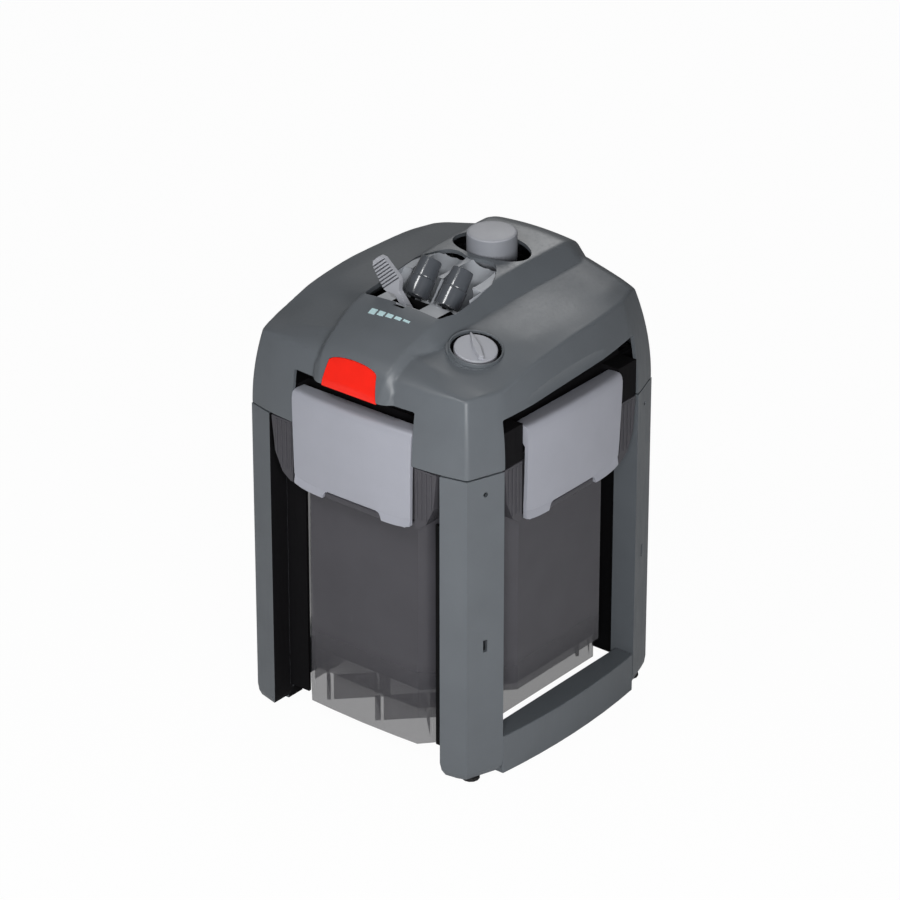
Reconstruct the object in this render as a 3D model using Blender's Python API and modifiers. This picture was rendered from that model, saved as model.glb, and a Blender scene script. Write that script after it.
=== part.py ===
"""Square canister filter for an aquarium: canister in a frame of four posts, pump head, four closing clips.

Metres, +Z up. The origin is on the floor at the centre of the footprint. The front, with the red window,
faces -Y, and the bypass knob is on the right, +X. Run with: blender --background --python part.py
"""

import math

import bmesh
import bpy
from mathutils import Matrix, Vector

# ---------------------------------------------------------------------------------------------------
# Driving dimensions
# ---------------------------------------------------------------------------------------------------

GAP = 0.0003  # between fixed pieces that touch
RUNNING_GAP = 0.0005  # between pieces that move on each other
ROUND = 24  # sides of a large round piece
SMALL_ROUND = 12  # sides of a pin, a hole or a screw

# Plan of the head and the frame
WIDTH = 0.238  # across the swell of the two sides
DEPTH = 0.241  # across the swell of front and back, without the clips
SIDE_SWELL = 0.0053  # how far a side stands out between its posts
FRONT_SWELL = 0.0042  # the same at the front and the back
POST_WIDTH = 0.0321  # a post along X
POST_DEPTH = 0.0355  # a post along Y
CORNER_CUT_X = 0.0105  # slanted corner of a post, along X
CORNER_CUT_Y = 0.0050  # the same along Y
HALF_W = WIDTH / 2
HALF_D = DEPTH / 2
POST_OUT_X = HALF_W - SIDE_SWELL
POST_OUT_Y = HALF_D - FRONT_SWELL
POST_IN_X = POST_OUT_X - POST_WIDTH
POST_IN_Y = POST_OUT_Y - POST_DEPTH
CREASE_X = POST_OUT_X - CORNER_CUT_X
CREASE_Y = POST_OUT_Y - CORNER_CUT_Y

# Frame
FOOT_LIFT = 0.001  # the posts stand this far off the floor on their feet
FOOT_RADIUS = 0.007
FOOT_HEIGHT = 0.003
SEAM_Z = 0.2564  # underside of the head
POST_WALL = 0.003
POST_ARM_Y = 0.0213  # depth of a post's front arm
POST_ARM_X = 0.0217  # width of its side arm
WEB_WIDTH = 0.0188  # a web runs this far from the post's inner side, beside the canister
WEB_THICKNESS = 0.0025
WEB_TOP_Z = 0.2030
POST_TOE_HEIGHT = 0.010  # height to which the post's inner corner is filled
POST_TOE_ROUND = 0.014  # height of the rounding at the foot of a post
POST_TOE_DRAW = 0.009  # how far that rounding draws the post in
SHELF_Z = 0.205  # ledge in a post under the canister's corner
SHELF_HEIGHT = 0.0095
PIN_HOLE_RADIUS = 0.002
PIN_HOLE_Z = 0.242
SLOT_WIDTH = 0.0036
SLOT_HEIGHT = 0.010
SLOT_Z = 0.116
RAIL_HEIGHT = 0.033
RAIL_DEPTH = 0.022  # from the swell of the side inwards
WEB_INNER_X = POST_IN_X - WEB_WIDTH
RAIL_INNER_X = HALF_W - RAIL_DEPTH

# Canister
BODY_INSET_X = 0.0107  # flat side walls behind the posts' outer sides
BODY_INSET_Y = 0.0113  # flat front and back walls behind the posts' fronts
BODY_SWELL = 0.0035  # how far the skirt stands out below the front wall
CHAMFER_X = 0.051
CHAMFER_Y = 0.055
CANISTER_WALL = 0.003
SKIRT_Z = 0.016
SIDE_SKIRT_Z = 0.0565  # underside of the two side steps in its floor
STEP_WIDTH = 0.0288  # of each side step
FLOOR_Z = 0.042
FLANGE_INSET_Y = 0.0037  # the flange's face behind the swell of front and back
FLANGE_INSET_X = 0.0065  # the same on the two sides
FLANGE_CLEARANCE = 0.0018  # between the flange and the posts beside it
POCKET_FACE = 0.0048  # depth of the flange's pocket behind a clip
LIP_Z = 0.2064  # underside of the flange, where the clips hook in
LIP_HEIGHT = 0.0036
LIP_REACH = 0.0025  # the lip behind a clip stands out this far from the flange's pocket
MOUTH_FLARE = 0.0055  # the mouth is wider than the vessel by this on each side
MOUTH_Z = 0.222
RIB_TOP_DROP = 0.022  # depth of the truss under the canister's floor
RIB_THICKNESS = 0.0025
BODY_X = POST_OUT_X - BODY_INSET_X
BODY_Y = POST_OUT_Y - BODY_INSET_Y
STEP_X = BODY_X - STEP_WIDTH
FLANGE_Y = HALF_D - FLANGE_INSET_Y
FLANGE_X = HALF_W - FLANGE_INSET_X
FLANGE_TOP_HALF = min(POST_IN_X, POST_IN_Y) - FLANGE_CLEARANCE

# Clips
CLIP_HALF = 0.057
CLIP_FOOT_DRAW = 0.0015  # a clip's foot is narrower by this on each side
CLIP_TOP_Z = 0.284
CLIP_FOOT_Z = 0.2035
CLIP_THICKNESS = 0.0028
CLIP_BOW = 0.003  # how far the clip's middle stands out from its ends
CLIP_PROUD = 0.0015  # how far the front clip stands out past the head
CLIP_SUNK = 0.0025  # how far a side clip's ends lie behind the swell of the side
CLIP_LEAN_FRONT = 0.0003  # how far a clip's foot lies behind its top
CLIP_LEAN_SIDE = 0.0022
PIVOT_Z = 0.276
PIVOT_INSET_Y = 0.013  # pivot behind the front plane of the head
PIN_RADIUS = 0.002
PIN_SEAT = 0.005  # how far a pin runs into the base on each side of its clip
NOTCH_HALF = 0.024
NOTCH_HEIGHT = 0.0065
HOOK_GAP = 0.0005
CLIP_FOOT_HALF = CLIP_HALF - CLIP_FOOT_DRAW
PIN_HALF = CLIP_HALF + PIN_SEAT

# Head
LEAN_RADIUS = 0.256  # the head's walls lean in along an arc of this radius
COVER_WALL = 0.003
RECESS_HALF = CLIP_HALF + GAP  # half width of the clip recess in front and back
RECESS_HEIGHT = 0.0435  # above the seam
RECESS_DEPTH_Y = 0.022
RECESS_DEPTH_X = 0.020
SIDE_RECESS_FRONT = 0.0400  # height of the side recess at its front end
SIDE_RECESS_BACK = 0.0490  # and at its back end
SCOOP_RADIUS = 0.016
SCOOP_DEPTH = 0.0016
CROWN = 0.002  # camber of the centre band
BASE_TOP = 0.0296  # top of the head base above the seam
BASE_FLOOR = 0.0053
BASE_INSET_X = 0.007  # the base's sides behind the swell of the head's sides
BASE_INSET_Y = 0.0097  # its front and back behind the swell of front and back
BASE_NARROW = 0.0016  # its front and back stop this far before the posts' inner sides
BASE_CORNER_X = CREASE_X - 0.0052
BASE_CORNER_Y = CREASE_Y - 0.0153
BASE_WALL_X = 0.0048
BASE_WALL_Y = 0.0035
BASE_SIDE_X = HALF_W - BASE_INSET_X
BASE_FRONT_Y = HALF_D - BASE_INSET_Y
BASE_INSIDE_X = BASE_CORNER_X - BASE_WALL_X
BASE_INSIDE_Y = BASE_CORNER_Y - BASE_WALL_Y
SPIGOT_DEPTH = 0.0104
SPIGOT_FLOOR = 0.004
SEAL_WIDTH = 0.0024
SEAL_HEIGHT = 0.004
BOSS_RADIUS = 0.005
GLAND_RADIUS = 0.0055
GLAND_FLANGE = 0.008
GLAND_LENGTH = 0.024  # behind its flange
GLAND_BORE = 0.003
GLAND_SUNK = 0.0028  # its flange's foot behind the swell of the back
GLAND_X = 0.0101 - POST_IN_X
GLAND_Z = 0.0210  # above the seam
SCREW_INSET = 0.010  # from the base's corner
SCREW_X = BASE_CORNER_X - SCREW_INSET
SCREW_Y = BASE_CORNER_Y - SCREW_INSET
SCREW_RADIUS = 0.002
SCREW_HEAD_RADIUS = 0.004
SCREW_LENGTH = 0.018

# Window in the front end of the centre band
WINDOW_HALF = 0.0263
WINDOW_TOP_HALF = 0.0228
WINDOW_BOTTOM = 0.0421  # above the seam
WINDOW_SHOULDER = 0.0620
WINDOW_TOP = 0.0672

# Priming pump
BUTTON_Y = 0.0465
BUTTON_RADIUS = 0.0192
BUTTON_TOP = 0.1146  # above the seam
BUTTON_TRAVEL = 0.014
BUTTON_WALL = 0.0025
BUTTON_SKIRT = 0.045
WELL_HALF_X = 0.034
WELL_HALF_Y = 0.0208
WELL_FLOOR = 0.0796  # above the seam
WELL_RIM = 0.0912
SLEEVE_WALL = 0.003
SPRING_RADIUS = 0.012
SPRING_WIRE = 0.0009
SPRING_TURNS = 5
SLEEVE_WEB = 0.044  # above the seam

# Hose adapter, nozzles and flow lever
ADAPTER_SINK = 0.0006  # the adapter's rim lies this far under the band
PLATE_HEIGHT = 0.0866  # light plate in front of the nozzles, above the seam
PLATE_FRONT_Y = -0.0520
PLATE_BACK_Y = -0.0260
TRENCH_HEIGHT = 0.0756
ADAPTER_BOTTOM = 0.0620
CHANNEL_X = 0.015
CHANNEL_RADIUS = 0.0142
CHANNEL_ANGLE = math.radians(31)
NOZZLE_X = 0.0150
NOZZLE_Y = -0.0260
NOZZLE_HEIGHT = 0.0826
NOZZLE_ANGLE = math.radians(49)
NOZZLE_LENGTH = 0.0305
NOZZLE_RADIUS = 0.0083  # at its free end
NOZZLE_SWELL = 0.0010  # how much thicker it is above the collar
COLLAR_RADIUS = 0.0098
COLLAR_SHARE = 0.49  # of the nozzle's length
NOZZLE_BORE = 0.0055
BOSS_WALL = 0.0016  # of the adapter round a nozzle's foot
BOSS_RISE = 0.0005
LEVER_Y = -0.0465
LEVER_THICKNESS = 0.0045
LEVER_TILT = math.radians(41)
LEVER_PIVOT = 0.0776  # above the seam
LEVER_LENGTH = 0.0510
PADDLE_LENGTH = 0.0245
PADDLE_HALF = 0.0098  # half width at its foot
PADDLE_TOP_HALF = 0.0070
STEM_HALF = 0.0028
LEVER_SLOT_HALF = 0.013
LEVER_SLOT_SHIFT = 0.005
LEVER_PIN_RADIUS = 0.0015
SPIGOT_RADIUS = 0.0075
SPIGOT_X = 0.015
SPIGOT_Y = -0.025
SOCKET_HEIGHT = 0.046

# Bypass knob
KNOB_AT = Vector((HALF_W - 0.052, 0.0645 - HALF_D, 0.0))
KNOB_SLOPE = Vector((0.238, -0.11, 1.0)).normalized()
KNOB_HEIGHT = 0.0765  # of the disc's face above the seam
KNOB_RADIUS = 0.01625
KNOB_THICKNESS = 0.005
KNOB_WELL = 0.0188
KNOB_WELL_DEPTH = 0.006
SPINDLE_RADIUS = 0.004
SPINDLE_LENGTH = 0.046
VALVE_RADIUS = 0.0075
VALVE_LENGTH = 0.022

# Pump
PUMP_AT = Vector((-0.052, 0.022, 0.0))
WHEEL_RADIUS = 0.016
CHAMBER_RADIUS = 0.019
WELL_RADIUS = 0.0125
MAGNET_RADIUS = 0.011
ROTOR_LENGTH = 0.045
MOTOR_RADIUS = 0.029
SHAFT_RADIUS = 0.0015
SHAFT_END = 0.0010  # the shaft starts this far under the chamber and ends this far under the well's roof
WELL_WALL = 0.002
WELL_HEIGHT = 0.0450  # above the seam
CHAMBER_WALL = 0.003
CHAMBER_HEIGHT = 0.0120
CHAMBER_ROOF = 0.0037
MOTOR_DROP = 0.004  # the potting ends this far under the top of the rotor's well
MOTOR_EDGE = 0.002
IMPELLER_RISE = 0.0022  # the wheel starts this far over the chamber's foot
IMPELLER_BLADE = 0.0085
BLADE_COUNT = 6
BLADE_THICKNESS = 0.0018
HUB_RADIUS = 0.006
BUSH_RADIUS = 0.004
BUSH_HEIGHT = 0.004
COVER_DISC = 0.0025  # thickness of the impeller cover
INTAKE_RADIUS = 0.0105

# Inside the canister
RISER_AT = Vector((BODY_X - 0.039, 0.043 - BODY_Y, 0.0))
RISER_RADIUS = 0.010
RISER_WALL = 0.0018
BASKET_CLEARANCE = 0.0008
BASKET_WALL = 0.002
TRAY_HEIGHT = 0.040
BASKET_HEIGHT = 0.068
SLEEVE_RADIUS = RISER_RADIUS + 0.004  # of a basket's sleeve round the riser
PAD_HEIGHT = 0.012
GRIP_HALF = 0.006  # half width of a basket's cross bar
GRIP_HEIGHT = 0.004
SLOT_COUNT = 5
SLOT_PITCH = 0.022
BASKET_SLOT_HALF = 0.003
SLOT_REACH = BODY_Y - 0.030

# ---------------------------------------------------------------------------------------------------
# Scene, materials and small tools
# ---------------------------------------------------------------------------------------------------

for leftover in list(bpy.data.objects):
    bpy.data.objects.remove(leftover)

PARTS = bpy.data.collections.new("canister_filter")
CUTTERS = bpy.data.collections.new("cutters")
bpy.context.scene.collection.children.link(PARTS)
bpy.context.scene.collection.children.link(CUTTERS)


def linear(value):
    """A 0 to 255 display value as linear light."""
    share = value / 255
    return share / 12.92 if share <= 0.04045 else ((share + 0.055) / 1.055) ** 2.4


def material(name, display_rgb, roughness, metallic=0.0, transmission=0.0):
    made = bpy.data.materials.new(name)
    made.use_nodes = True
    shader = made.node_tree.nodes["Principled BSDF"]
    shader.inputs["Base Color"].default_value = (*[linear(v) for v in display_rgb], 1.0)
    shader.inputs["Roughness"].default_value = roughness
    shader.inputs["Metallic"].default_value = metallic
    shader.inputs["Transmission Weight"].default_value = transmission
    return made


HOUSING = material("dark_housing", (92, 97, 102), 0.45)
SMOKY = material("smoky_clear", (78, 75, 78), 0.15, transmission=0.6)
SILVER = material("silver_clip", (158, 161, 171), 0.4)
RED = material("red_window", (238, 50, 40), 0.2)
LIGHT = material("light_grey", (168, 168, 176), 0.45)
GLOSSY = material("glossy_black", (38, 40, 44), 0.1)
BLACK = material("black_plastic", (26, 27, 29), 0.5)
RUBBER = material("rubber", (22, 22, 23), 0.8)
STEEL = material("steel", (190, 190, 192), 0.25, metallic=1.0)
CERAMIC = material("ceramic", (226, 222, 212), 0.4)
SPONGE = material("sponge", (58, 92, 120), 0.95)
MEDIA = material("filter_media", (188, 170, 148), 0.9)


def add(name, mesh, look):
    """A sub-part of the filter."""
    made = bpy.data.objects.new(name, mesh)
    mesh.materials.append(look)
    PARTS.objects.link(made)
    return made


def tool(name, mesh):
    """A hidden body that only shapes others."""
    made = bpy.data.objects.new(name, mesh)
    made.hide_render = True
    made.display_type = "WIRE"
    CUTTERS.objects.link(made)
    return made


def combine(target, operation, meshes):
    """Adds, cuts or keeps each mesh, in turn, on the target."""
    for mesh in meshes:
        helper = mesh if isinstance(mesh, bpy.types.Object) else tool(target.name + "_tool", mesh)
        step = target.modifiers.new(operation.lower(), "BOOLEAN")
        step.operation = operation
        step.solver = "EXACT"
        step.object = helper
    return target


def cut(target, *meshes):
    return combine(target, "DIFFERENCE", meshes)


def join(target, *meshes):
    return combine(target, "UNION", meshes)


def keep(target, *meshes):
    return combine(target, "INTERSECT", meshes)


def smooth(target, degrees=35):
    """Smooth shading with the real edges kept sharp, on a mesh without modifiers."""
    target.data.shade_smooth()
    target.data.set_sharp_from_angle(angle=math.radians(degrees))
    return target


def finished(bm, name):
    bmesh.ops.recalc_face_normals(bm, faces=bm.faces)
    mesh = bpy.data.meshes.new(name)
    bm.to_mesh(mesh)
    bm.free()
    return mesh


def box(low, high, turn=None):
    """A box between two corners, which turn, a matrix, may then move."""
    low, high = Vector(low), Vector(high)
    bm = bmesh.new()
    place = Matrix.Translation((low + high) / 2) @ Matrix.Diagonal((*(high - low), 1.0))
    bmesh.ops.create_cube(bm, size=1.0, matrix=(turn or Matrix()) @ place)
    return finished(bm, "box")


def rod(radius, start, end, end_radius=None, sides=ROUND):
    """A cylinder or a cone between two points."""
    start, end = Vector(start), Vector(end)
    along = end - start
    place = Matrix.Translation((start + end) / 2) @ along.to_track_quat("Z", "Y").to_matrix().to_4x4()
    bm = bmesh.new()
    bmesh.ops.create_cone(
        bm,
        cap_ends=True,
        segments=sides,
        radius1=radius,
        radius2=radius if end_radius is None else end_radius,
        depth=along.length,
        matrix=place,
    )
    return finished(bm, "rod")


def upright(radius, at, low, high, sides=ROUND):
    """A cylinder on the vertical line through at."""
    return rod(radius, (at.x, at.y, low), (at.x, at.y, high), sides=sides)


def loft(rings):
    """A closed body through rings with equally many points."""
    bm = bmesh.new()
    loops = [[bm.verts.new(point) for point in ring] for ring in rings]
    count = len(loops[0])
    for lower, upper in zip(loops, loops[1:]):
        for i in range(count):
            j = (i + 1) % count
            bm.faces.new((lower[i], lower[j], upper[j], upper[i]))
    bm.faces.new(loops[0])
    bm.faces.new(loops[-1])
    return finished(bm, "loft")


def slab(outline, low, high, axis="Z"):
    """A flat outline made thick from low to high along an axis. It lists the other two coordinates."""
    curve = bpy.data.curves.new("outline", "CURVE")
    curve.dimensions = "2D"
    curve.fill_mode = "BOTH"
    curve.extrude = (high - low) / 2
    line = curve.splines.new("POLY")
    line.points.add(len(outline) - 1)
    for point, (u, v) in zip(line.points, outline):
        point.co = (u, v, 0.0, 1.0)
    line.use_cyclic_u = True
    holder = bpy.data.objects.new("outline", curve)
    CUTTERS.objects.link(holder)
    bpy.context.view_layer.update()
    mesh = bpy.data.meshes.new_from_object(holder.evaluated_get(bpy.context.evaluated_depsgraph_get()))
    bpy.data.objects.remove(holder)
    middle = (low + high) / 2
    columns = {
        "Z": ((1, 0, 0), (0, 1, 0), (0, 0, 1)),
        "X": ((0, 1, 0), (0, 0, 1), (1, 0, 0)),
        "Y": ((1, 0, 0), (0, 0, 1), (0, 1, 0)),
    }[axis]
    turn = Matrix(columns).transposed().to_4x4()
    bm = bmesh.new()
    bm.from_mesh(mesh)
    bmesh.ops.remove_doubles(bm, verts=bm.verts, dist=1e-6)
    bmesh.ops.translate(bm, verts=bm.verts, vec=(0, 0, middle))
    bmesh.ops.transform(bm, matrix=turn, verts=bm.verts)
    return finished(bm, "slab")


def turned(name, profile, look, at=(0, 0, 0), closed=False, sides=ROUND, direction=None):
    """A turned piece. The profile lists radius and height, down the outer side."""
    bm = bmesh.new()
    points = [bm.verts.new((radius, 0.0, height)) for radius, height in profile]
    for first, second in zip(points, points[1:]):
        bm.edges.new((first, second))
    if closed:
        bm.edges.new((points[-1], points[0]))
    mesh = bpy.data.meshes.new(name)
    bm.to_mesh(mesh)
    bm.free()
    made = add(name, mesh, look) if look else tool(name, mesh)
    made.location = at
    if direction is not None:
        made.rotation_euler = Vector(direction).to_track_quat("Z", "Y").to_euler()
    spin = made.modifiers.new("spin", "SCREW")
    spin.steps = sides
    spin.render_steps = sides
    spin.use_merge_vertices = True
    spin.merge_threshold = 0.00001
    spin.use_smooth_shade = True
    return made


def wire(name, points, radius, look, sides=2, cyclic=False):
    """A round wire along points."""
    curve = bpy.data.curves.new(name, "CURVE")
    curve.dimensions = "3D"
    curve.bevel_depth = radius
    curve.bevel_resolution = sides
    curve.use_fill_caps = not cyclic
    line = curve.splines.new("POLY")
    line.points.add(len(points) - 1)
    for target, point in zip(line.points, points):
        target.co = (*point, 1.0)
    line.use_cyclic_u = cyclic
    made = bpy.data.objects.new(name, curve)
    curve.materials.append(look)
    PARTS.objects.link(made)
    return made


def grown(outline, by):
    """The outline with each straight side moved outwards by a distance. It runs counter-clockwise."""
    result = []
    count = len(outline)
    for i in range(count):
        before, here, after = (Vector(outline[(i + k) % count]) for k in (-1, 0, 1))
        first = (here - before).normalized()
        second = (after - here).normalized()
        normal_1 = Vector((first.y, -first.x))
        normal_2 = Vector((second.y, -second.x))
        shift = (normal_1 + normal_2) / (1 + normal_1.dot(normal_2))
        result.append(tuple(here + shift * by))
    return result


def around(quarter):
    """The whole outline from its front right quarter, from the front's middle to the side's middle."""
    right = quarter + [(x, -y) for x, y in reversed(quarter[:-1])]
    return right + [(-x, y) for x, y in reversed(right[1:-1])]


def at_height(outline, z):
    return [(x, y, z) for x, y in outline]


def ellipse(half_x, half_y, centre_y, count=ROUND):
    turns = [2 * math.pi * i / count for i in range(count)]
    return [(half_x * math.cos(a), centre_y + half_y * math.sin(a)) for a in turns]


def four_corners(x, y):
    """The four mirror images of a place, with their names."""
    return {
        "front_left": Vector((-x, -y, 0)),
        "front_right": Vector((x, -y, 0)),
        "back_left": Vector((-x, y, 0)),
        "back_right": Vector((x, y, 0)),
    }


# ---------------------------------------------------------------------------------------------------
# Head cover: a deck between leaning walls, with a raised band along its middle
# ---------------------------------------------------------------------------------------------------


def head_plan():
    """Outline of head and posts at the seam."""
    shares = (0.0, 0.35, 0.7, 1.0)
    front = [(s * POST_IN_X, -HALF_D + FRONT_SWELL * s * s) for s in shares]
    side = [(HALF_W - SIDE_SWELL * s * s, -s * POST_IN_Y) for s in reversed(shares)]
    return around(front + [(CREASE_X, -CREASE_Y)] + side)


def walls(inset):
    """The head's walls, leaning in along an arc, overlong at both ends."""
    rings = []
    for rise in (-0.03, 0.0, 0.015, 0.030, 0.045, 0.060, 0.075, 0.090, 0.120):
        lean = max(rise, 0.0) ** 2 / (2 * LEAN_RADIUS) + inset
        shrink_x = 1 - lean / HALF_W
        shrink_y = 1 - lean / HALF_D
        outline = [(x * shrink_x, y * shrink_y) for x, y in head_plan()]
        rings.append(at_height(outline, SEAM_Z + rise))
    return loft(rings)


# Distance behind the front plane (front rows) or before the back plane (back rows), height at the foot
# of the raised band, distance of the side crease from the side plane, its height, and the height that
# the outer slope would have at the side plane. Heights are above the seam.
DECK_FRONT = (
    (0.0015, 0.0416, 0.037, 0.0376, 0.0316),
    (0.0040, 0.0481, 0.037, 0.0436, 0.0376),
    (0.0052, 0.0546, 0.0368, 0.0496, 0.0436),
    (0.0085, 0.0611, 0.0364, 0.0566, 0.0506),
    (0.0150, 0.0666, 0.036, 0.0626, 0.0561),
    (0.0225, 0.0704, 0.035, 0.0641, 0.0571),
    (0.0355, 0.0761, 0.0335, 0.0656, 0.0591),
    (0.0495, 0.0796, 0.0325, 0.0676, 0.0616),
    (0.0675, 0.0806, 0.031, 0.0706, 0.0656),
    (0.1005, 0.0826, 0.029, 0.0766, 0.0696),
)
DECK_BACK = (
    (0.1045, 0.0856, 0.028, 0.0789, 0.0726),
    (0.0705, 0.0886, 0.028, 0.0796, 0.0726),
    (0.0445, 0.0906, 0.030, 0.0811, 0.0706),
    (0.0285, 0.0911, 0.034, 0.0811, 0.0686),
    (0.0185, 0.0871, 0.0355, 0.0776, 0.0656),
    (0.0115, 0.0816, 0.036, 0.0726, 0.0616),
    (0.0065, 0.0726, 0.0365, 0.0646, 0.0556),
    (0.0045, 0.0616, 0.037, 0.0556, 0.0476),
    (0.0030, 0.0500, 0.037, 0.0440, 0.0376),
    (0.0010, 0.0400, 0.037, 0.0360, 0.0300),
)
# Distance from the same planes, half width and height of the band's top edge, half width and height of
# the foot of its side facet.
BAND_FRONT = (
    (-0.0007, 0.0282, 0.0466, 0.0295, 0.0440),
    (0.0011, 0.0292, 0.0532, 0.0325, 0.0456),
    (0.0049, 0.0308, 0.0626, 0.0360, 0.0546),
    (0.0108, 0.0320, 0.0690, 0.0364, 0.0636),
    (0.0178, 0.0330, 0.0738, 0.0370, 0.0682),
    (0.0295, 0.0340, 0.0806, 0.0382, 0.0736),
    (0.0355, 0.0350, 0.0831, 0.0400, 0.0761),
    (0.0495, 0.0360, 0.0886, 0.0445, 0.0796),
    (0.0605, 0.0365, 0.0911, 0.0455, 0.0804),
    (0.1005, 0.0370, 0.0961, 0.0460, 0.0826),
)
BAND_BACK = (
    (0.0905, 0.0370, 0.1006, 0.0480, 0.0871),
    (0.0355, 0.0370, 0.1011, 0.0500, 0.0914),
    (0.0165, 0.0345, 0.0956, 0.0440, 0.0856),
    (0.0085, 0.0325, 0.0876, 0.0400, 0.0780),
    (0.0025, 0.0305, 0.0736, 0.0360, 0.0600),
    (-0.0007, 0.0285, 0.0466, 0.0300, 0.0440),
)


def stations(front, back):
    """Rows with their distances turned into places along Y."""
    rows = [(distance - HALF_D, *rest) for distance, *rest in front]
    return rows + [(HALF_D - distance, *rest) for distance, *rest in back]


def section(right_half, y):
    """A closed section across the head from its right half, from the bottom to the middle of the top."""
    left_half = [(-x, z) for x, z in reversed(right_half) if x > 0]
    return [(x, y, SEAM_Z + z) for x, z in right_half + left_half]


def deck(inset):
    """Everything under the deck's surface, wider than the walls."""
    far = HALF_W + 0.02
    rings = []
    for y, foot, crease_in, crease, out in stations(DECK_FRONT, DECK_BACK):
        crease_x = HALF_W - crease_in
        slope = (out - crease) / crease_in
        far_height = crease + slope * (far - crease_x)
        half = [
            (far, -0.04),
            (far, far_height - inset),
            (crease_x, crease - inset),
            (0.045, foot - inset),
            (0.0, foot - inset),
        ]
        rings.append(section(half, y))
    return loft(rings)


def band(inset, low):
    """The raised band, from a flat bottom at low. An inset makes the hollow under it."""
    rings = []
    shrink = 1 - inset / HALF_D
    for y, half_width, height, foot_width, foot in stations(BAND_FRONT, BAND_BACK):
        run_on = 1.35
        side_x = half_width + (foot_width - half_width) * run_on - inset
        side_z = max(height + (foot - height) * run_on, low + 0.0008 + inset) - inset
        half = [
            (side_x, low),
            (side_x, side_z),
            (half_width - inset, height - inset),
            ((half_width - inset) / 2, height + 0.75 * CROWN - inset),
            (0.0, height + CROWN - inset),
        ]
        rings.append(section(half, y * shrink))
    return loft(rings)


ADAPTER_HALF_OUTLINE = (
    (0.0330, -0.0600),
    (0.0362, -0.0580),
    (0.0388, -0.0440),
    (0.0384, -0.0200),
    (0.0370, 0.0000),
    (0.0310, 0.0120),
    (0.0240, 0.0212),
    (0.0150, 0.0240),
    (0.0060, 0.0215),
)


def adapter_outline():
    left = [(-x, y) for x, y in reversed(ADAPTER_HALF_OUTLINE)]
    return list(ADAPTER_HALF_OUTLINE) + [(0.0, 0.0200)] + left


def window_outline():
    """Upright outline with an arched top, seen from the front."""
    top = [(WINDOW_TOP_HALF * math.cos(a), math.sin(a)) for a in (0.0, 0.5, 1.0, math.pi / 2)]
    rise = WINDOW_TOP - WINDOW_SHOULDER
    right = [(x, SEAM_Z + WINDOW_SHOULDER + rise * share) for x, share in top]
    left = [(-x, z) for x, z in reversed(right[:-1])]
    bottom = SEAM_Z + WINDOW_BOTTOM
    return [(-WINDOW_HALF, bottom), (WINDOW_HALF, bottom)] + right + left


def knob_centre():
    return KNOB_AT + Vector((0, 0, SEAM_Z + KNOB_HEIGHT))


def clip_recesses():
    """Cutters for the four openings that the clips swing in."""
    far = 0.03
    cutters = []
    for side in (-1, 1):
        reach = sorted((side * (HALF_D - RECESS_DEPTH_Y), side * (HALF_D + far)))
        front = ((-RECESS_HALF, reach[0], SEAM_Z - far), (RECESS_HALF, reach[1], SEAM_Z + RECESS_HEIGHT))
        cutters.append(box(*front))
        outline = [
            (-POST_IN_Y, SEAM_Z - far),
            (POST_IN_Y, SEAM_Z - far),
            (POST_IN_Y - 0.0015, SEAM_Z + SIDE_RECESS_BACK),
            (-POST_IN_Y + 0.0015, SEAM_Z + SIDE_RECESS_FRONT),
        ]
        reach = sorted((side * (HALF_W - RECESS_DEPTH_X), side * (HALF_W + far)))
        cutters.append(slab(outline, *reach, axis="X"))
    return cutters


def scoop(side):
    """A long shallow groove in the leaning wall above a side recess."""
    rise = (SIDE_RECESS_FRONT + SIDE_RECESS_BACK) / 2 + 0.0065
    tilt = (SIDE_RECESS_BACK - SIDE_RECESS_FRONT) / (2 * POST_IN_Y)
    lean = rise**2 / (2 * LEAN_RADIUS)
    x = side * (HALF_W - lean - SCOOP_DEPTH + SCOOP_RADIUS)
    reach = POST_IN_Y + 0.01
    start = (x, -reach, SEAM_Z + rise - reach * tilt)
    end = (x, reach, SEAM_Z + rise + reach * tilt)
    return rod(SCOOP_RADIUS, start, end)


def make_cover():
    cover = add("head_cover", walls(0.0), HOUSING)
    keep(cover, deck(0.0))
    join(cover, band(0.0, RECESS_HEIGHT))
    hollow = tool("cover_hollow", walls(COVER_WALL))
    keep(hollow, deck(COVER_WALL))
    corners = four_corners(SCREW_X, SCREW_Y).values()
    top = SEAM_Z + 0.09
    cut(hollow, *[upright(BOSS_RADIUS, place, SEAM_Z + BASE_FLOOR + 2 * GAP, top) for place in corners])
    cup_low = knob_centre() - KNOB_SLOPE * (KNOB_WELL_DEPTH + COVER_WALL)
    cut(hollow, rod(KNOB_WELL + COVER_WALL, knob_centre() + KNOB_SLOPE * 0.01, cup_low))
    cut(cover, hollow)
    cut(cover, band(COVER_WALL, -0.005))
    cut(cover, *[scoop(side) for side in (-1, 1)])
    cut(cover, *clip_recesses())
    cut(cover, box((-HALF_W - 0.03, -HALF_D - 0.03, SEAM_Z - 0.05), (HALF_W + 0.03, HALF_D + 0.03, SEAM_Z)))
    cut(cover, slab(adapter_outline(), SEAM_Z + 0.07, SEAM_Z + 0.13))
    cut(cover, slab(ellipse(WELL_HALF_X, WELL_HALF_Y, BUTTON_Y), SEAM_Z + 0.08, SEAM_Z + 0.13))
    cut(cover, slab(window_outline(), -HALF_D - 0.03, -HALF_D + 0.03, axis="Y"))
    low = SEAM_Z + BASE_FLOOR
    cut(cover, *[upright(SCREW_RADIUS + GAP, p, low, low + SCREW_LENGTH, SMALL_ROUND) for p in corners])
    well_low = knob_centre() - KNOB_SLOPE * KNOB_WELL_DEPTH
    cut(cover, rod(KNOB_WELL, knob_centre() + KNOB_SLOPE * 0.02, well_low))
    return cover


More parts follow.
